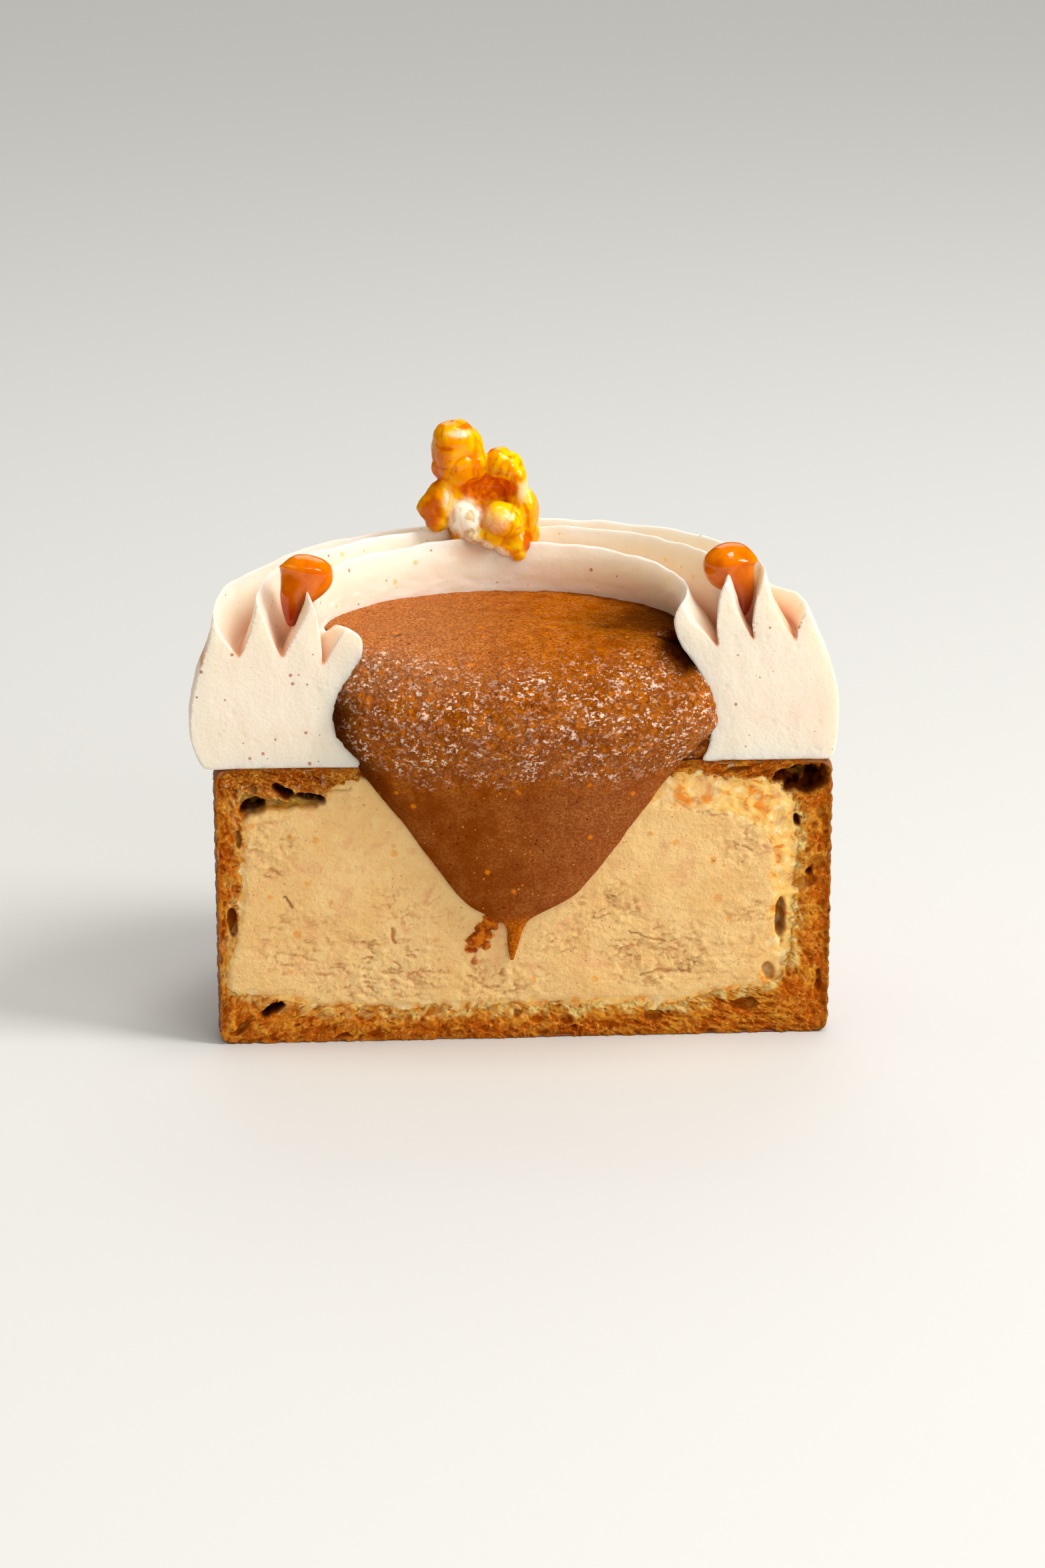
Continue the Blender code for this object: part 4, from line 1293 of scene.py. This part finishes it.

# %% [markdown]
# ## The cream's finish
#
# Whipped cream is never plain white: light wanders through it and comes out warm, so the
# folds glow, and vanilla and nuts leave small specks. A subsurface shader does most of that.
# The folds get a warm painted shade where the mesh says how deep they are, and a brown
# painted shadow lies on the cream where the popcorn rests on it.

# %% Finish of the cream
def cream_finish():
    """Ivory cream with painted shade in its folds and a painted shadow under the popcorn, with
    vanilla and nut specks.
    """
    made = Finish("whipped_cream", Roughness=0.48, Subsurface_Weight=0.45,
                  Subsurface_Radius=(0.006, 0.0035, 0.0018))
    broad = made.band(made.noise(9.0, 3.0, 0.5), 0.35, 0.65)
    made.colour = made.blend(broad, (246, 226, 203), (250, 232, 210))
    # painted shade in the folds
    made.over(made.mark("valley_shade"), (214, 146, 84))
    # painted shadow of the popcorn
    made.over(made.mark("under"), (190, 118, 58), 0.8)
    made.speckle((1.9, 0.09, 0.26, 0.55, (176, 96, 66), 0.8),
                 (3.2, 0.08, 0.18, 0.25, (96, 62, 56), 0.7),
                 (2.4, 0.16, 0.42, 0.45, (250, 196, 104), 0.75),
                 (1.1, 0.04, 0.12, 0.50, (196, 150, 120), 0.6))
    pores = made.specks(0.8, 0.05, 0.2, 0.35)
    grain = made.sum(made.noise(0.5, 4.0, 0.6), made.times(pores, -0.5))
    strength = made.band(made.mark("cut"), 0.0, 1.0, 0.35, 1.0)
    return made.finished(Normal=made.raised(made.times(grain, strength), 0.12))


points, faces, marks = piped_cream()
add_piece("piped_cream", points, faces, "cream_ring", "cream", cream_finish(), marks)

# %% [markdown]
# ## The poured praline
#
# Praline fills the well inside the ring and has rolled over the cut: it bulges forwards,
# narrows down the face and ends in one thin drip. A fluid simulation could pour it, but
# would never stop in the photographed shape. So the piece is a stack of closed loops. Each
# runs round the well's wall behind and across the bulge in front. Above the fullest level
# the front rolls back in a quarter ellipse until it meets the flat pool. In the middle the
# roll is long and lazy, at its ends short. The pool's loops shrink to a pole.

# %% Outline of the flow
POOL = 16.0
END_ROLL, MIDDLE_ROLL = 2.0, 15.5
INTO_CREAM = 0.7                         # the loops run this far inside the cream's wall
FLOW = np.array([   # height above the choux, left edge, right edge, thickness
    (-26.0, -2.0, -1.5, 0.3), (-25.2, -2.3, -1.1, 0.7), (-23.8, -2.5, -0.7, 0.9),
    (-22.0, -2.4, -0.2, 0.9), (-20.9, -2.9, 0.3, 1.1), (-20.1, -4.4, 1.2, 1.3),
    (-19.2, -6.6, 3.4, 1.6), (-17.6, -8.6, 6.6, 2.0), (-14.0, -11.2, 9.7, 2.5),
    (-8.0, -15.3, 14.1, 3.1), (-3.0, -19.2, 17.6, 3.9), (0.3, -21.5, 20.4, 4.5),
    (2.6, -23.2, 22.6, 5.0), (5.5, -24.6, 25.2, 5.5)])
FULLEST = FLOW[-1, 0]
BEHIND, BEFORE = 110, 330
FACE_LOOPS, ROLL_LOOPS, POOL_LOOPS = 110, 80, 30
POOL_CENTRE = (-0.5, 13.0)
ROUND_THE_WELL = 75.0                    # rough length of the well's wall


def smooth_table(table, places, reach=0.7, readings=7):
    """Columns of a table read at other places, rounded by averaging near readings."""
    nearby = np.linspace(-reach, reach, readings)
    return [np.mean([np.interp(places + step, table[:, 0], table[:, k]) for step in nearby],
                    axis=0) for k in range(1, table.shape[1])]


def well_radius(heights):
    """Shares of the way round, and the radius of the well's wall there at each height.

    Each height is a row and each share a column. The radius is that of the first place,
    going outwards, where the cream's outline crosses the height.
    """
    shares = np.linspace(0.0, 1.0, BEHIND)
    radius, level, _ = cream_section(shares)
    ahead_radius, ahead_level = np.roll(radius, -1, axis=1), np.roll(level, -1, axis=1)
    found = []
    for height in np.maximum(heights, 1.0):
        crosses = (level - height) * (ahead_level - height) < 0
        part = (height - level) / np.where(crosses, ahead_level - level, 1.0)
        meets = np.where(crosses, radius + part * (ahead_radius - radius), 99.0)
        found.append(meets.min(axis=1))
    return shares, np.array(found)


print("the pool's radius: about %.1f mm" % well_radius(np.array([POOL]))[1].mean())

# %% Loops of the flow
def flow_loops():
    """All loops of the praline from the drip's tip to the edge of the pool.

    Across the front the praline stands ahead of the cut by thickness · swell, with
    swell = (1 - |a|^2.4)^0.65 and a from -1 to 1. Its ends are tucked into the cream. Above
    the fullest level it draws back by roll · (1 - cos), and the roll's length goes from
    END_ROLL at the ends to MIDDLE_ROLL in the middle.
    """
    face = np.linspace(FLOW[0, 0], FULLEST, FACE_LOOPS)
    turn = np.linspace(0.0, math.pi / 2, ROLL_LOOPS + 1)[1:]
    heights = np.concatenate([face, FULLEST + (POOL - FULLEST) * np.sin(turn)])
    drawn_back = np.concatenate([0.0 * face, 1.0 - np.cos(turn)])[:, None]
    left, right, thickness = smooth_table(FLOW, np.minimum(heights, FULLEST))
    in_well = (heights > GAP)[:, None]
    shares, wall = well_radius(heights)
    skipped = END_ROLL * drawn_back / ROUND_THE_WELL
    behind = round_ring(skipped + (1.0 - 2.0 * skipped) * shares[None, :],
                        wall + INTO_CREAM, heights[:, None])
    behind[..., 1] = np.maximum(behind[..., 1], CUT + 1.0)
    spread = shares[None, :] * (right - left)[:, None] + left[:, None]
    flat = xyz(spread, CUT + 0.5, CAKE_HEIGHT + heights[:, None])
    behind = np.where(in_well[..., None], behind, flat)
    start = np.maximum(left, behind[:, 0, 0] + 0.1)
    stop = np.minimum(right, behind[:, -1, 0] - 0.1)
    across = np.cos(np.linspace(0.0, math.pi, BEFORE + 2)[1:-1])[None, :]
    x = 0.5 * (start + stop)[:, None] - 0.5 * (stop - start)[:, None] * across
    swell = (1.0 - np.abs(across) ** 2.4) ** 0.65
    roll = END_ROLL + (MIDDLE_ROLL - END_ROLL) * (1.0 - np.abs(across) ** 2.2)
    tucked = np.where(in_well, 0.9, 0.5) * (1.0 - swell) ** 8
    y = CUT - thickness[:, None] * swell + tucked + roll * drawn_back
    before = xyz(x[:, ::-1], y[:, ::-1], CAKE_HEIGHT + heights[:, None])
    return np.concatenate([behind, before], axis=1)


def poured_praline():
    """The loops, then the pool's loops drawn in to a pole, and the drip's tip closed."""
    loops = flow_loops()
    centre = np.array([*POOL_CENTRE, CAKE_HEIGHT + POOL])
    shares = np.linspace(1.0, 0.0, POOL_LOOPS + 1)[1:-1, None, None]
    points = np.concatenate([loops, centre + (loops[-1] - centre) * shares])
    tip = loops[0].mean(axis=0) - [0.0, 0.0, 0.15]
    return np.vstack([points.reshape(-1, 3), tip, centre]), tube_faces(*points.shape[:2])


print("loops of praline:", FACE_LOOPS + ROLL_LOOPS + POOL_LOOPS - 1)

# %% Grain and shade of the praline
PIT = (20.6, -1.5, 14.8), (4.6, 8.0, 4.4)            # middle and half sizes: the right end
BACK_SHADE = (17.5, 8.0, 16.0), (13.0, 13.0, 4.0)    # the pool under the ring, back right


def near_spot(points, middle, half):
    """1 in the middle of a soft ellipsoid, 0 outside it; heights count from the choux."""
    away = np.linalg.norm((points - middle - [0.0, 0.0, CAKE_HEIGHT]) / half, axis=-1)
    return ease(1.25, 0.15, away + 0.22 * fractal(points, 2.0, 3, 46))


def grained(points, faces):
    """Praline pushed out by its nut grain, and marks of how wet and how shaded it is.

    The grain is ridged noise, 1 - |n|, in two sizes, drawn out on a slant, and it is
    coarsest where the praline rolls over the edge. Lower down the flow is stretched smooth.
    Painted shade lies in the pit at the right end, under the ring behind, and along the left edge.
    """
    out = normals_of(points, faces)
    x, height = points[:, 0], points[:, 2] - CAKE_HEIGHT
    slant = points @ np.array([[0.86, 0.0, 0.30], [0.0, 1.0, 0.0], [-0.50, 0.0, 0.52]]).T
    coarse = 1.0 - np.abs(drift(slant, 1.25, 41)) * 2.0
    fine = 1.0 - np.abs(drift(slant, 0.62, 42)) * 2.0
    facing = ease(0.97, 0.62, out[:, 2])
    wet = ease(-4.5, 3.0, height + 2.2 * fractal(points, 3.4, 4, 44)) * (0.25 + 0.75 * facing)
    waves = 0.20 * fractal(points, 5.0, 3, 43)
    streams = 0.10 * drift(points * [1.0, 0.2, 0.2], 1.6, 45) * ease(8.0, 14.0, height)
    pit = near_spot(points, *PIT)
    push = waves + streams + wet * (0.15 * coarse + 0.08 * fine) + 0.02 * fine - 1.1 * pit
    still = ease(-26.0, -24.0, height)
    # painted shade along the left edge, which faces away from the window
    from_left = x + 21.5 - 0.62 * np.clip(5.0 - height, 0.0, 30.0)
    left = ease(2.5, -2.5, from_left) * ease(13.0, 8.0, height) * ease(-16.0, 6.0, height)
    shade = np.maximum.reduce([pit, 0.66 * near_spot(points, *BACK_SHADE), 0.75 * left])
    return points + out * (push * still)[:, None], {"wet": wet * (1.0 - shade), "shade": shade}


print("middles of the shaded places:", PIT[0], BACK_SHADE[0])

# %% [markdown]
# ## The praline's finish
#
# Praline is ground nuts in caramel: satin where it is stretched down the face, wet and
# grainy where it rolls over, with a sparkle on the roll. Lights alone don't make that
# sparkle on so small a grain, so part of it is painted: pale glints in the colour, painted
# highlights that stay in place when the view moves. A coat with its own coarser bump adds
# the gloss. The face is also painted lighter on its right, the roll and pool get a painted
# sheen, and painted shade lies in the pit, under the ring and along the left edge.

# %% Finish of the praline
def praline_finish():
    """Nut paste, satin below and wet where it rolls over, full of dark and orange grains."""
    made = Finish("poured_praline", Subsurface_Weight=0.05, Coat_Roughness=0.08,
                  Subsurface_Radius=(0.002, 0.0006, 0.0002), Specular_IOR_Level=0.0)
    height, along, wet = made.axis("Z"), made.axis("X"), made.mark("wet")
    broad = made.band(made.noise(4.0, 5.0, 0.62), 0.36, 0.64)
    made.colour = made.blend(broad, (164, 82, 4), (190, 106, 16))
    # satin down the face, painted lighter on the right as if lit from there; orange at the drip; a
    # painted sheen towards the pool
    satin_and_painted_light = made.blend(broad, (130, 62, 14), (160, 92, 38))
    # painted light: the face is lighter on its right
    satin_and_painted_light = made.blend(made.band(along, -0.006, 0.012, 0.0, 0.4), satin_and_painted_light, (190, 122, 74))
    made.over(made.band(height, 0.0405, 0.0325), satin_and_painted_light)
    made.over(made.band(height, 0.0178, 0.0155), (206, 112, 22))
    # painted sheen near the pool, in patches
    painted_pool_sheen = made.times(made.band(height, 0.0500, 0.0528),
                       made.band(made.noise(2.4, 3.0), 0.4, 0.62))
    made.over(painted_pool_sheen, (204, 124, 50), 0.5)
    # painted sheen on the upper roll, strongest on the left
    made.over(made.times(made.band(height, 0.0450, 0.0510),
                         made.band(along, 0.006, -0.014, 0.0, 0.6)), (204, 138, 88))
    grit = made.noise(0.32, 4.0, 0.7)
    made.over(made.band(grit, 0.60, 0.44, 0.0, 0.7), (126, 52, 0))
    made.over(made.times(wet, made.band(made.noise(1.0, 3.0, 0.6), 0.5, 0.68)), (214, 112, 2), 0.7)
    made.speckle((1.1, 0.07, 0.17, 0.6, (66, 16, 0), 0.75),
                 (1.7, 0.10, 0.28, 0.45, (100, 32, 0), 0.7),
                 (1.9, 0.12, 0.40, 0.42, (228, 124, 10), 0.75),
                 (0.9, 0.06, 0.15, 0.45, (226, 150, 66), 0.6))
    # painted shade in the pit at the right end, in the pool under the ring and along the left edge
    made.over(made.band(made.mark("shade"), 0.0, 0.9, 0.0, 0.94), (36, 5, 0))
    # painted glints: pale specks in heaps where the praline is wet, standing in for its sparkle
    slant = made.stretched(0.75, 1.0, 1.0, lean=0.8)
    coarse = made.noise(0.8, 2.0, 0.5, 0.5, slant)
    heap = made.band(made.noise(3.0, 3.0, 0.6, 0.4, slant), 0.40, 0.58, 0.25, 1.0)
    glint = made.noise(0.34, 2.0, 0.55, 0.6, slant)
    painted_glints = made.times(made.band(made.sum(glint, made.times(coarse, 0.7)), 0.915, 1.005),
                       made.times(made.band(wet, 0.16, 0.85), heap))
    made.over(painted_glints, (255, 224, 198), 0.95)
    # bump below, and a clear coat in clumps with a coarser bump of its own
    depth = made.band(wet, 0.0, 1.0, 0.25, 1.0)
    bump = made.raised(made.times(made.sum(grit, coarse), depth), 0.36)
    beads = made.sum(coarse, made.times(made.noise(0.45, 2.0, 0.5, 0.3, slant), 0.6))
    clump = made.band(made.noise(2.2, 3.0, 0.6, 0.4, slant), 0.40, 0.56, 0.3, 1.0)
    film = made.raised(made.times(beads, made.times(depth, clump)), 1.2)
    coat = made.times(made.band(wet, 0.3, 0.95, 0.0, 0.7), clump)
    return made.finished(Normal=bump, Roughness=made.band(wet, 0.0, 1.0, 0.5, 0.36),
                         Coat_Weight=coat, Coat_Normal=film)


points, faces = poured_praline()
points, marks = grained(points, faces)
add_piece("poured_praline", points, faces, "praline", "praline", praline_finish(), marks)

# %% [markdown]
# ## The caramel beads
#
# Two beads of soft caramel sit on the cream, each with a round head and a tail that has run
# down into a valley. Metaballs could melt into such drops, but would not keep to the valley.
# A bead is a circle carried along a bent line, with a radius that swells and tapers: a lathe
# whose axis bends. Soft caramel is clear and deep, so its finish is a strong orange
# subsurface under a smooth wet coat, darker towards the thin tail.

# %% The beads' surfaces
BEAD_STEPS = 72
BEADS = [       # piece, node, then x, y, height above the choux, half width and half depth
    ("caramel_bead_left", "caramel_drop_left", [
        (-27.25, 3.3, 26.7, 2.8, 2.6), (-27.4, 3.3, 25.6, 3.5, 3.3),
        (-27.45, 3.1, 24.4, 3.8, 3.5), (-27.9, 2.7, 23.2, 3.3, 3.1),
        (-28.7, 2.0, 21.9, 2.4, 2.4), (-29.2, 1.3, 20.6, 1.8, 1.7),
        (-29.5, 0.5, 19.3, 1.4, 1.3), (-29.8, -0.4, 17.8, 1.0, 1.0)]),
    ("caramel_bead_right", "caramel_drop_right", [
        (26.85, 3.3, 27.4, 2.8, 2.6), (26.9, 3.3, 26.2, 3.5, 3.3),
        (26.9, 3.2, 24.8, 3.8, 3.5), (27.1, 2.9, 23.5, 3.4, 3.2),
        (27.9, 2.4, 22.3, 2.2, 2.3), (28.4, 1.8, 20.9, 1.6, 1.6),
        (28.4, 1.2, 19.5, 1.3, 1.3), (28.6, 0.6, 18.0, 0.9, 0.9)])]


def bead(rows):
    """A circle carried along a bent line of middles, with half widths and half depths.

    The rows are read at t from 0 to 1 and smoothed. The circle is drawn in by
    √(1 - |2t - 1|³), so that both ends close on poles.
    """
    t = 0.5 - 0.5 * np.cos(np.linspace(0.0, math.pi, BEAD_STEPS + 2)[1:-1])
    table = np.column_stack([np.linspace(0.0, 1.0, len(rows)), rows])
    read = np.stack(smooth_table(table, t, 0.09, 9), axis=1)
    read[:, 2] += CAKE_HEIGHT
    closing = np.sqrt(1.0 - np.abs(2.0 * t - 1.0) ** 3)
    turn = np.linspace(0.0, math.tau, BEAD_STEPS, endpoint=False)[None, :, None]
    along = np.gradient(read[:, :3], axis=0)
    side = np.cross(along, [0.0, 1.0, 0.0])
    side /= np.linalg.norm(side, axis=1)[:, None]
    deep = np.cross(side, along)
    deep /= np.linalg.norm(deep, axis=1)[:, None]
    wide, far = ((read[:, k] * closing)[:, None, None] * way[:, None, :]
                 for k, way in ((3, side), (4, deep)))
    body = read[:, None, :3] + wide * np.cos(turn) + far * np.sin(turn)
    ends = np.array([rows[0][:3], rows[-1][:3]]) + [0.0, 0.0, CAKE_HEIGHT]
    points = np.vstack([body.reshape(-1, 3), ends])
    points = points + 0.12 * xyz(*(drift(points, 3.0, 51 + k) for k in range(3)))
    return points, tube_faces(*body.shape[:2])


print("a bead: %d points" % len(bead(BEADS[0][2])[0]))

# %% Finish of the beads
def caramel_finish():
    """Soft caramel: deep orange, cloudy, with a clear wet coat."""
    made = Finish("soft_caramel", Roughness=0.3, Specular_IOR_Level=0.0, Coat_Weight=1.0,
                  Coat_Roughness=0.07, Coat_IOR=1.45, Subsurface_Weight=0.4,
                  Subsurface_Radius=(0.006, 0.0012, 0.0001))
    cloud = made.band(made.noise(2.5, 3.0, 0.5), 0.35, 0.65)
    made.colour = made.blend(cloud, (208, 98, 0), (230, 122, 4))
    made.over(made.band(made.axis("Z"), 0.0605, 0.0560), (150, 44, 0))
    return made.finished(Normal=made.raised(made.noise(1.5, 2.0, 0.5), 0.05))


caramel = caramel_finish()
for name, node, rows in BEADS:
    add_piece(name, *bead(rows), node, "caramel", caramel)

# %% [markdown]
# ## The popcorn
#
# A popped kernel is a cluster of burst lobes round a torn hollow. One ball with strong noise
# would look like a pebble. Here each lobe is a grid on an egg shape, pushed in and out by
# noise. A voxel remesh fuses them into one skin, and numpy then carves the hollow and
# wrinkles the skin. Caramel covers it unevenly, so tables say where it pooled amber and where
# the ivory flesh shows; they also place painted shade on the kernel's left and underside, and
# painted highlights.

# %% The lobes
LOBES = [       # middle x, y, height above the choux, then three half sizes
    (-6.7, 29.6, 32.8, 3.7, 3.5, 3.2), (-7.1, 29.7, 35.2, 3.1, 3.2, 3.4),
    (-6.9, 29.65, 34.1, 3.5, 3.4, 4.2),
    (-1.4, 29.6, 32.4, 2.0, 2.9, 2.5), (-0.2, 29.3, 32.0, 2.0, 2.7, 2.2),
    (0.9, 29.0, 29.8, 1.5, 2.7, 3.4), (1.9, 28.6, 26.4, 2.0, 2.7, 3.2),
    (2.0, 28.4, 23.3, 1.8, 2.2, 2.6), (-9.2, 28.9, 27.7, 2.0, 2.3, 3.0),
    (-10.3, 28.8, 26.9, 1.7, 1.8, 2.3), (-11.3, 28.8, 26.8, 1.1, 1.1, 1.4),
    (-12.0, 28.8, 26.9, 0.6, 0.6, 0.6), (-9.9, 28.6, 25.2, 1.6, 1.6, 1.5),
    (-6.3, 27.7, 25.7, 2.3, 1.6, 2.3), (-5.0, 27.6, 24.4, 2.4, 1.6, 1.5),
    (-1.2, 26.9, 25.3, 3.0, 2.7, 2.4),
    (-2.9, 27.4, 23.6, 2.9, 2.2, 1.5), (0.8, 26.9, 22.2, 1.9, 1.9, 1.9),
    (-5.4, 28.0, 22.8, 2.4, 1.8, 1.3), (-4.4, 26.5, 23.4, 1.7, 1.2, 0.8),
    (-2.4, 26.3, 22.5, 1.7, 1.1, 0.8), (-0.6, 26.1, 21.6, 1.5, 1.1, 0.8),
    (0.9, 26.0, 20.9, 1.1, 1.1, 0.7),
    (-4.2, 31.6, 28.2, 5.4, 3.0, 5.4), (-3.6, 31.0, 24.2, 4.8, 3.4, 4.2),
]
LOBE_ROWS, LOBE_SIDES = 40, 60
VOXEL = 0.22


def lobe(values, seed):
    """An egg-shaped grid: r = 1 + 0.08 · noise of the direction, times three half sizes."""
    middle, half = np.array(values[:3]) + [0.0, 0.0, CAKE_HEIGHT], values[3:]
    down = np.linspace(0.0, math.pi, LOBE_ROWS + 2)[1:-1, None]
    turn = np.linspace(0.0, math.tau, LOBE_SIDES, endpoint=False)[None, :]
    way = xyz(np.sin(down) * np.cos(turn), np.sin(down) * np.sin(turn), np.cos(down))
    way = np.vstack([way.reshape(-1, 3), [[0, 0, 1], [0, 0, -1]]])
    push = 1.0 + 0.08 * drift(way + 5.0 * seed, 0.9, 61)
    return middle + way * push[:, None] * half, tube_faces(LOBE_ROWS, LOBE_SIDES)


def fused(parts):
    """One skin round many overlapping closed grids, by a voxel remesh."""
    firsts = np.cumsum([0] + [len(points) for points, _ in parts])
    faces = [first + group for first, (_, groups) in zip(firsts, parts) for group in groups]
    rough = new_object("lobes", np.vstack([points for points, _ in parts]), faces)
    skin = rough.modifiers.new("skin", "REMESH")
    skin.mode = "VOXEL"
    skin.voxel_size = VOXEL
    solid = rough.evaluated_get(bpy.context.evaluated_depsgraph_get()).to_mesh()
    points = np.empty(len(solid.vertices) * 3)
    solid.vertices.foreach_get("co", points)
    faces = [np.array([tuple(p.vertices) for p in solid.polygons])]
    bpy.data.objects.remove(rough)
    return points.reshape(-1, 3), faces


print("lobes of the popcorn:", len(LOBES))

# %% The torn hollow and the wrinkles
HOLLOW = dict(middle=(-3.1, 25.0, CAKE_HEIGHT + 29.6), half=(4.2, 4.6, 2.0))


def carved(points, middle, half):
    """Points in front of an ellipsoid's back, and inside its outline, are moved to it.

    With a and b the scaled distances across and up, the back lies at
    y = middle + half · √(1 - a² - b²), and y becomes the larger of the two.
    """
    a, _, b = ((points - middle) / half).T
    inside = np.clip(1.0 - a * a - b * b, 0.0, 1.0)
    back = middle[1] + half[1] * np.sqrt(inside)
    in_front = (inside > 0.0) & (points[:, 1] < middle[1] + half[1])
    moved = points.copy()
    moved[:, 1] = np.where(in_front, np.maximum(points[:, 1], back), points[:, 1])
    return moved, ease(0.0, 0.35, inside) * in_front


print("the hollow is %.1f mm wide" % (2.0 * HOLLOW["half"][0]))

# %% Where the caramel lies, and the kernel
AMBER_AND_SHADE = [       # middle x and height, half sizes and strength of the deep orange places: pooled caramel, and painted shade on the left and under the kernel
    (-9.9, 33.4, 1.2, 4.0, 0.55), (-8.7, 35.3, 1.1, 0.35, 0.9), (-9.2, 32.6, 1.0, 0.35, 0.9),
    (-10.0, 31.0, 0.9, 1.4, 0.9), (-10.6, 26.6, 1.7, 3.0, 0.9), (2.2, 22.6, 0.9, 1.9, 0.95),
    (-0.6, 21.2, 2.4, 1.0, 0.7), (1.2, 23.4, 2.4, 0.8, 0.5), (-5.6, 38.0, 1.5, 0.4, 0.8),
    (-5.6, 22.4, 2.6, 1.1, 1.0), (-5.2, 27.2, 1.2, 0.3, 0.9)]
PAINTED_HIGHLIGHTS = [        # middle x and height, half sizes and strength of painted highlights, pale as the ivory flesh
    (-2.2, 25.8, 2.0, 1.6, 0.35), (1.7, 29.4, 0.9, 1.4, 0.45), (-8.4, 28.4, 0.7, 1.6, 0.6),
    (-6.9, 37.2, 1.7, 0.5, 0.55)]
BARE = [        # the same, for the lobe that the caramel missed
    (-6.1, 25.8, 2.3, 2.5, 1.0)]
BARE_EDGE = (-6.6, 23.9, 6.0, -0.52)     # from x and height, how far in x, and the slope


def popped_kernel():
    """The fused lobes, carved and wrinkled, with marks for the hollow, for ivory flesh and painted
    highlights, and for pooled caramel and painted shade.
    """
    points, faces = fused([lobe(values, seed) for seed, values in enumerate(LOBES)])
    points, hollow = carved(points, **HOLLOW)
    out = normals_of(points, faces)
    puffs = np.abs(drift(points * [1.0, 1.0, 0.6], 3.8, 62))
    small = np.abs(drift(points, 1.6, 65))
    points = points + out * (0.45 * puffs + 0.14 * small - 0.10)[:, None]
    x, height = points[:, 0], points[:, 2] - CAKE_HEIGHT
    ragged = 0.35 * fractal(points, 1.8, 3, 64)
    start_x, start_height, length, slope = BARE_EDGE
    run = x - start_x
    away = np.hypot(run - np.clip(run, 0.0, length), height - start_height - slope * run)
    edge = 0.8 * ease(1.0, 0.4, away + ragged) * (out[:, 1] < 0)
    # ivory: the lobe and edge that the caramel missed, and the painted highlights
    bare_and_highlight = np.maximum.reduce([patches(x, height, BARE, 1.15, 0.75, ragged), edge,
                              patches(x, height, PAINTED_HIGHLIGHTS, 1.3, 0.3, ragged)])
    # deep orange: caramel in the folds and listed places, and painted shade on the sides that face
    # left and under the kernel
    fold = 1.0 - ease(0.0, 0.10, puffs)
    amber_and_shade = np.maximum.reduce([0.6 * fold, 0.5 * ease(-0.1, -0.8, out[:, 0]),
                               patches(x, height, AMBER_AND_SHADE, 1.2, 0.5, ragged)])
    return points, faces, {"hollow": hollow, "amber_and_shade": amber_and_shade * (1.0 - bare_and_highlight), "bare_and_highlight": bare_and_highlight}


# counts: deep orange places with painted shade, painted highlights, places the caramel missed
print("amber, thin and bare places:", len(AMBER_AND_SHADE), len(PAINTED_HIGHLIGHTS), len(BARE))

# %% [markdown]
# ## The popcorn's finish
#
# Hard caramel over pale flesh is amber, glossy and a little see-through. One orange would
# hide the lobes, so yellow and orange streaks follow their length, the folds and pools are
# deeper, painted shade darkens the sides that face left and the underside, and the places
# the caramel missed turn ivory under the same coat, as do painted highlights.

# %% Finish of the popcorn
def popcorn_finish():
    """Amber caramel over the burst kernel, browner where it pooled and with painted shade, ivory
    where it missed and with painted highlights.
    """
    made = Finish("caramel_popcorn", Roughness=0.3, Specular_IOR_Level=0.0, Coat_Weight=0.7,
                  Coat_Roughness=0.10, Coat_IOR=1.45, Subsurface_Weight=0.3,
                  Subsurface_Radius=(0.005, 0.0018, 0.0001))
    broad = made.band(made.noise(4.2, 2.0, 0.5), 0.36, 0.6)
    made.colour = made.blend(broad, (252, 158, 0), (255, 196, 6))
    streak = made.noise(1.6, 3.0, 0.6, 1.2, made.stretched(1.0, 1.0, 0.5))
    made.over(made.band(streak, 0.56, 0.68, 0.0, 0.8), (220, 104, 0))
    # pooled caramel and painted shade
    made.over(made.mark("amber_and_shade"), (206, 86, 0))
    deep = made.blend(made.band(streak, 0.4, 0.62), (216, 88, 0), (255, 140, 4))
    made.over(made.mark("hollow"), deep, 0.95)
    ivory = made.blend(made.band(streak, 0.34, 0.54), (220, 188, 136), (255, 246, 224))
    # ivory flesh and painted highlights
    made.over(made.mark("bare_and_highlight"), ivory)
    return made.finished(Normal=made.raised(made.noise(1.6, 2.0, 0.5), 0.10))


points, faces, marks = popped_kernel()
add_piece("popcorn_kernel", points, faces, "popcorn", "popcorn", popcorn_finish(), marks)

# %% [markdown]
# ## The end
#
# The visual model has to stay the size of the solids.
